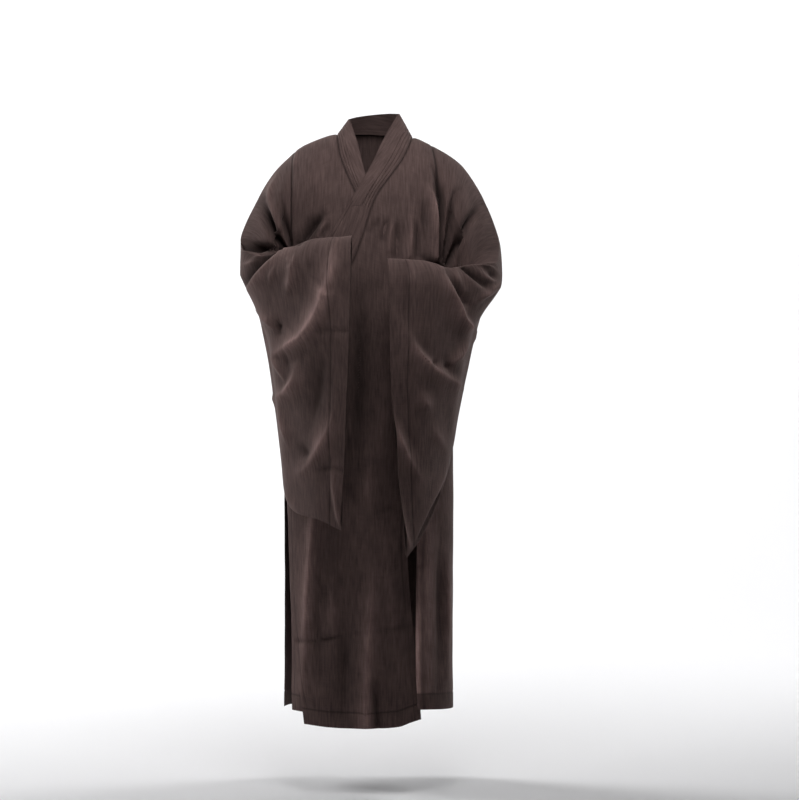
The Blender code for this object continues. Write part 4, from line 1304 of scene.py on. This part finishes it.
# Sewn lines, each its depth and its half width: seams, hems and cuffs, and the turned slit edges.
SEAM_DEPTH = 0.0014
SEAM_WIDTH = 0.0032
STITCH_DEPTH = 0.0009
STITCH_WIDTH = 0.0014
EDGE_STITCH_DEPTH = 0.00063

# The collar's seam and fold, each its depth and half width, and how far its inside stands off its skin.
COLLAR_SEAM = (0.0008, 0.0022)
COLLAR_FOLD = (0.0006, 0.0016)
COLLAR_INSIDE = 0.0002

# Turned hems and edges: how wide the edge is, how much thicker they are, and how much painted shade darkens a
# sewn line's sunk groove against the cloth beside it.
EDGE_TURN = 0.014
TURNED_EXTRA = 0.0011
BODY_LINE_SHADE = 0.75
SLEEVE_LINE_SHADE = 0.9

# The back's slit edge stands forward; below this height it takes a painted highlight, fading in over this
# run, this wide and this strong, and its hem takes painted shade.
EDGE_LIT_FROM = -0.96
EDGE_LIT_FADE = 0.14
EDGE_LIT_WIDTH = 0.012
EDGE_LIT_SHADE = 0.8
BACK_HEM_SHADE = -0.5

# Guard: how far it stands up, its stitched line in rows from its rim and across, and its rim's shade.
GUARD_RISE = 0.0004
GUARD_RIM_ROWS = 2
GUARD_LINE_ROWS = 3
GUARD_ROW = 0.001
GUARD_LINE = (0.0002, 0.0009)
GUARD_RIM_SHADE = -0.25

# Each body panel as cut: its width and length, its area, what it rests on, and the last rows that
# are sewn at its first and at its last column.
BODY_PANELS = {
    "back": ((0.60, 1.27), 0.70, "collar_cloth", SLIT_ROW, SLIT_ROW),
    "front_left": ((0.38, 1.29), 0.34, "back_cloth", UNDERARM_ROW, SLIT_ROW),
    "front_right": ((0.36, 1.26), 0.33, "back_cloth", SLIT_ROW, UNDERARM_ROW),
}


def shell(name, panel, sunk, turned, cloth_map, shade):
    """The thin cloth of one panel, with its sewn lines sunk and its turned edges thickened."""
    thickness = bpy.context.scene.robe_cloth.thickness
    outside = panel.grid + panel.normals * (WALL - sunk)[..., None]
    inside = panel.grid + panel.normals * (WALL - sunk - thickness - TURNED_EXTRA * turned)[..., None]
    return shell_object(name, outside, inside, panel.wraps, cloth_map(panel.plain), shade)


def keep(obj, node):
    """Puts a cloth piece on the robe in place of its solid."""
    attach(obj, "root")
    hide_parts(node)


class ROBE_OT_body(bpy.types.Operator):
    """Builds the back and the two fronts"""

    bl_idname = "robe.body"
    bl_label = "Back and fronts"

    def execute(self, context):
        lines = []
        for name, (flat, area, rests_on, *sewn_to) in BODY_PANELS.items():
            panel = robe_panels()[name]
            across = arcs(panel.grid, 1)
            down = arcs(panel.grid, 0)
            to_hem = down[-1:] - down
            row = np.arange(len(down))[:, None]
            sunk = dip(to_hem - HEM_DEPTH, STITCH_DEPTH, STITCH_WIDTH)
            turned = to_hem < HEM_DEPTH
            asides = (across, across[:, -1:] - across)
            for aside, last_row in zip(asides, sewn_to):
                seam = dip(aside, SEAM_DEPTH, SEAM_WIDTH)
                edge = dip(aside - EDGE_TURN, EDGE_STITCH_DEPTH, STITCH_WIDTH)
                sunk += np.where(row <= last_row, seam, edge)
                turned = turned | ((row > last_row) & (aside < EDGE_TURN))
            # Painted shade and highlight of the folds, and painted shade in the sunk sewn lines.
            shade = panel.fold - BODY_LINE_SHADE * sunk / STITCH_DEPTH
            if name == "back":
                # Painted highlight along the back's slit edge, painted shade over its hem.
                edge_highlight = ease((EDGE_LIT_FROM - panel.grid[..., 2]) / EDGE_LIT_FADE) * (across < EDGE_LIT_WIDTH)
                shade += np.where(to_hem > HEM_DEPTH, EDGE_LIT_SHADE * edge_highlight, BACK_HEM_SHADE)
            obj = shell(name + "_cloth", panel, sunk, turned, body_cloth_map, shade)
            keep(obj, name)
            lines.append(line_on(panel, HEM_DEPTH - to_hem, 0))
            beside_slit = across - EDGE_TURN if name == "front_right" else EDGE_TURN - asides[1]
            lines.append(line_on(panel, beside_slit, 1, SLIT_ROW + SLIT_EASE_ROWS))
        sewn("hem_stitching", lines)
        return {"FINISHED"}


class ROBE_OT_sleeves(bpy.types.Operator):
    """Builds the two wide sleeves, open at the cuff"""

    bl_idname = "robe.sleeves"
    bl_label = "Sleeves"

    def execute(self, context):
        lines = []
        for name in ("sleeve_right", "sleeve_left"):
            panel = robe_panels()[name]
            along = arcs(panel.grid, 0)
            past_cuff = along - along[np.searchsorted(SLEEVE_PLACES, CUFF_PLACE)]
            sunk = dip(along, SEAM_DEPTH, SEAM_WIDTH) + dip(past_cuff, STITCH_DEPTH, STITCH_WIDTH)
            # Painted shade and highlight of the folds, and painted shade in the sunk seam and cuff line.
            shade = panel.fold - SLEEVE_LINE_SHADE * sunk / STITCH_DEPTH
            obj = shell(name + "_cloth", panel, sunk, past_cuff > 0, sleeve_cloth_map, shade)
            keep(obj, name)
            lines.append(line_on(panel, past_cuff, 0))
        sewn("cuff_stitching", lines)
        return {"FINISHED"}


class ROBE_OT_collar(bpy.types.Operator):
    """Builds the crossed collar with its tucks, and the guard sewn on it"""

    bl_idname = "robe.collar"
    bl_label = "Collar"

    def execute(self, context):
        panel = robe_panels()["collar_band"]
        across = arcs(panel.grid, 1)
        below = (np.arange(len(across)) < UNDERARM_ROW) & (panel.grid[:, 0, 2] < TUCK_END_Z)
        sunk = dip(across, *COLLAR_SEAM) + dip(across[:, -1:] - across, *COLLAR_FOLD)
        for share, spread, depth, above in zip(*TUCKS.values()):
            shown = below != (above == 1)
            sunk += dip(COLLAR_SHARES - share, depth, spread) * shown[:, None]
        outside = panel.grid + panel.normals * (COLLAR_WALL - sunk)[..., None]
        inside = panel.grid + panel.normals * COLLAR_INSIDE
        laid = collar_cloth_map(panel.plain)
        # Painted shade in the sunk seam, edge fold and tucks of the collar.
        collar = shell_object("collar_cloth", outside, inside, False, laid, -sunk / SEAM_DEPTH)
        keep(collar, "collar_band")
        self.guard(guard_grid(outside, panel.grid[: UNDERARM_ROW + 1, 0, 2]))
        return {"FINISHED"}

    def guard(self, grid):
        """The patch sewn over the collar, from the grid of its underside."""
        from_rim = [np.minimum(np.arange(n), np.arange(n)[::-1]) for n in grid.shape[:2]]
        rim = np.minimum.outer(*from_rim)
        raised = GUARD_RISE * np.clip(rim / GUARD_RIM_ROWS, 0, 1)
        raised -= dip((rim - GUARD_LINE_ROWS) * GUARD_ROW, *GUARD_LINE)
        normals = grid_normals(grid, False)
        outside = grid + normals * (GUARD_GAP + raised)[..., None]
        inside = grid + normals * GUARD_GAP / 2
        shade = np.where(rim < 1, GUARD_RIM_SHADE, 0.0)
        patch = shell_object("guard_cloth", outside, inside, False, collar_cloth_map(grid), shade)
        keep(patch, "collar_guard")


def guard_grid(face, heights):
    """Points on the collar's face under its guard; the heights are those of the collar's first rows."""
    across = np.linspace(GUARD_FROM, GUARD_TO, GUARD_COLUMNS + 1)
    columns = np.interp(across, COLLAR_SHARES, np.arange(len(COLLAR_SHARES)))
    side = np.linspace(0, 1, GUARD_COLUMNS + 1)
    low = smooth(GUARD, "share", "low_z", side)
    top = smooth(GUARD, "share", "top_z", side)
    up = np.linspace(0, 1, GUARD_LINES + 1)[:, None]
    lines = np.interp(low + (top - low) * up, heights, np.arange(len(heights)))
    i = lines.astype(int)
    j = np.broadcast_to(columns.astype(int), i.shape)
    aside = (columns - j)[..., None]
    near = face[i, j] + (face[i, j + 1] - face[i, j]) * aside
    far = face[i + 1, j] + (face[i + 1, j + 1] - face[i + 1, j]) * aside
    return near + (far - near) * (lines - i)[..., None]


class ROBE_OT_fastening(bpy.types.Operator):
    """Finishes the knotted button and its cord loop at the wearer's right side"""

    bl_idname = "robe.fastening"
    bl_label = "Side fastening"

    def execute(self, context):
        for node in ("side_loop", "side_knot"):
            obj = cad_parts[node]
            obj.data.materials.clear()
            obj.data.materials.append(robe_cloth())
        return {"FINISHED"}


# Each soft lamp: its place, what it faces, its size across and its share of the studio's light.
LAMPS = (
    ("front", (0.06, -0.72, 0.32), (0.03, -0.1, -0.15), 0.5, 0.29),
    ("far_front", (0.0, -4.2, 0.8), (0.0, 0.0, -0.6), 1.0, 0.02),
    ("low_left", (-1.8, -0.25, -0.9), (0.0, 0.0, -1.0), 0.7, 0.26),
    ("backdrop_left", (-2.6, 1.2, 1.6), (-0.6, 3.6, 0.2), 2.0, 7.2),
    ("backdrop_right", (2.6, 1.2, 1.6), (0.6, 3.6, 0.2), 2.0, 4.4),
)

# Where the camera stands from side to side and in height, and its film's width in millimetres.
EYE_X = 0.0627
EYE_Z = -0.5786
FILM = 36.0

# How bright the studio beyond the floor looks to the camera; it adds no light.
SKY_SEEN = 0.85
SKY_COLOUR = (0.95, 0.97, 1.0, 1.0)

# Floor: its colour, half its width, where it starts to curve up, that curve and where it ends.
FLOOR_COLOUR = (0.82, 0.82, 0.83)
FLOOR_ROUGHNESS = 0.9
FLOOR_REACH = 9.0
CURVE_FROM = 2.2
CURVE_RADIUS = 1.6
CURVE_STEPS = 12
WALL_TOP = 6.0


class ROBE_OT_studio(bpy.types.Operator):
    """Builds the pale floor and backdrop, the soft lights and the camera"""

    bl_idname = "robe.studio"
    bl_label = "Studio"

    def execute(self, context):
        studio = context.scene.robe_studio
        self.backdrop(studio.floor_height)
        context.scene.world = self.sky(studio.ambient)
        context.scene.view_settings.view_transform = "Standard"
        for name, place, target, size, share in LAMPS:
            light = bpy.data.lights.new(name, "AREA")
            light.shape = "DISK"
            light.size = size
            light.energy = studio.light * share
            turn = (Vector(target) - Vector(place)).to_track_quat("-Z", "Y")
            self.placed(name, light, place, turn.to_euler())
        camera = bpy.data.cameras.new("camera")
        camera.lens = studio.lens
        camera.sensor_width = FILM
        place = (EYE_X, -studio.distance, EYE_Z)
        context.scene.camera = self.placed("camera", camera, place, (math.radians(90), 0, 0))
        return {"FINISHED"}

    def placed(self, name, data, place, turn):
        obj = bpy.data.objects.new(name, data)
        obj.location = place
        obj.rotation_euler = turn
        bpy.context.scene.collection.objects.link(obj)
        return obj

    def sky(self, ambient):
        """Faint light from all round, which the camera sees as a pale studio."""
        world = bpy.data.worlds.new("studio")
        world.use_nodes = True
        tree = world.node_tree
        background = tree.nodes["Background"]
        background.inputs["Color"].default_value = SKY_COLOUR
        path = tree.nodes.new("ShaderNodeLightPath")
        seen = ranged(tree, path.outputs["Is Camera Ray"], to_min=ambient, to_max=SKY_SEEN)
        tree.links.new(seen, background.inputs["Strength"])
        return world

    def backdrop(self, height):
        """A wide floor that curves up behind."""
        profile = [(-FLOOR_REACH, 0.0), (CURVE_FROM, 0.0)]
        for k in range(1, CURVE_STEPS + 1):
            turn = math.pi / 2 * k / CURVE_STEPS
            y = CURVE_FROM + CURVE_RADIUS * math.sin(turn)
            profile.append((y, CURVE_RADIUS * (1 - math.cos(turn))))
        profile.append((CURVE_FROM + CURVE_RADIUS, WALL_TOP))
        verts = [(x, y, height + z) for y, z in profile for x in (-FLOOR_REACH, FLOOR_REACH)]
        faces = [(2 * i, 2 * i + 1, 2 * i + 3, 2 * i + 2) for i in range(len(profile) - 1)]
        finish = plain_material("pale_floor", FLOOR_COLOUR, FLOOR_ROUGHNESS)
        return added_object("floor", verts, faces, finish)


class ROBE_PT_panel(bpy.types.Panel):
    """Lists the robe's pieces and settings"""

    bl_idname = "ROBE_PT_panel"
    bl_label = "Robe"
    bl_space_type = "VIEW_3D"
    bl_region_type = "UI"
    bl_category = "Robe"

    def draw(self, context):
        for group in (context.scene.robe_cloth, context.scene.robe_studio):
            box = self.layout.box()
            for name in group.__annotations__:
                box.prop(group, name)
        for operator in OPERATORS:
            self.layout.operator(operator.bl_idname)


OPERATORS = (ROBE_OT_body, ROBE_OT_sleeves, ROBE_OT_collar, ROBE_OT_fastening, ROBE_OT_studio)
CLASSES = (ROBE_PG_cloth, ROBE_PG_studio, *OPERATORS, ROBE_PT_panel)


def register():
    for cls in CLASSES:
        bpy.utils.register_class(cls)
    bpy.types.Scene.robe_cloth = PointerProperty(type=ROBE_PG_cloth)
    bpy.types.Scene.robe_studio = PointerProperty(type=ROBE_PG_studio)


def unregister():
    del bpy.types.Scene.robe_studio
    del bpy.types.Scene.robe_cloth
    for cls in reversed(CLASSES):
        bpy.utils.unregister_class(cls)


def main():
    register()
    bpy.ops.robe.body()
    bpy.ops.robe.sleeves()
    bpy.ops.robe.collar()
    bpy.ops.robe.fastening()
    bpy.ops.robe.studio()


if __name__ == "__main__":
    main()
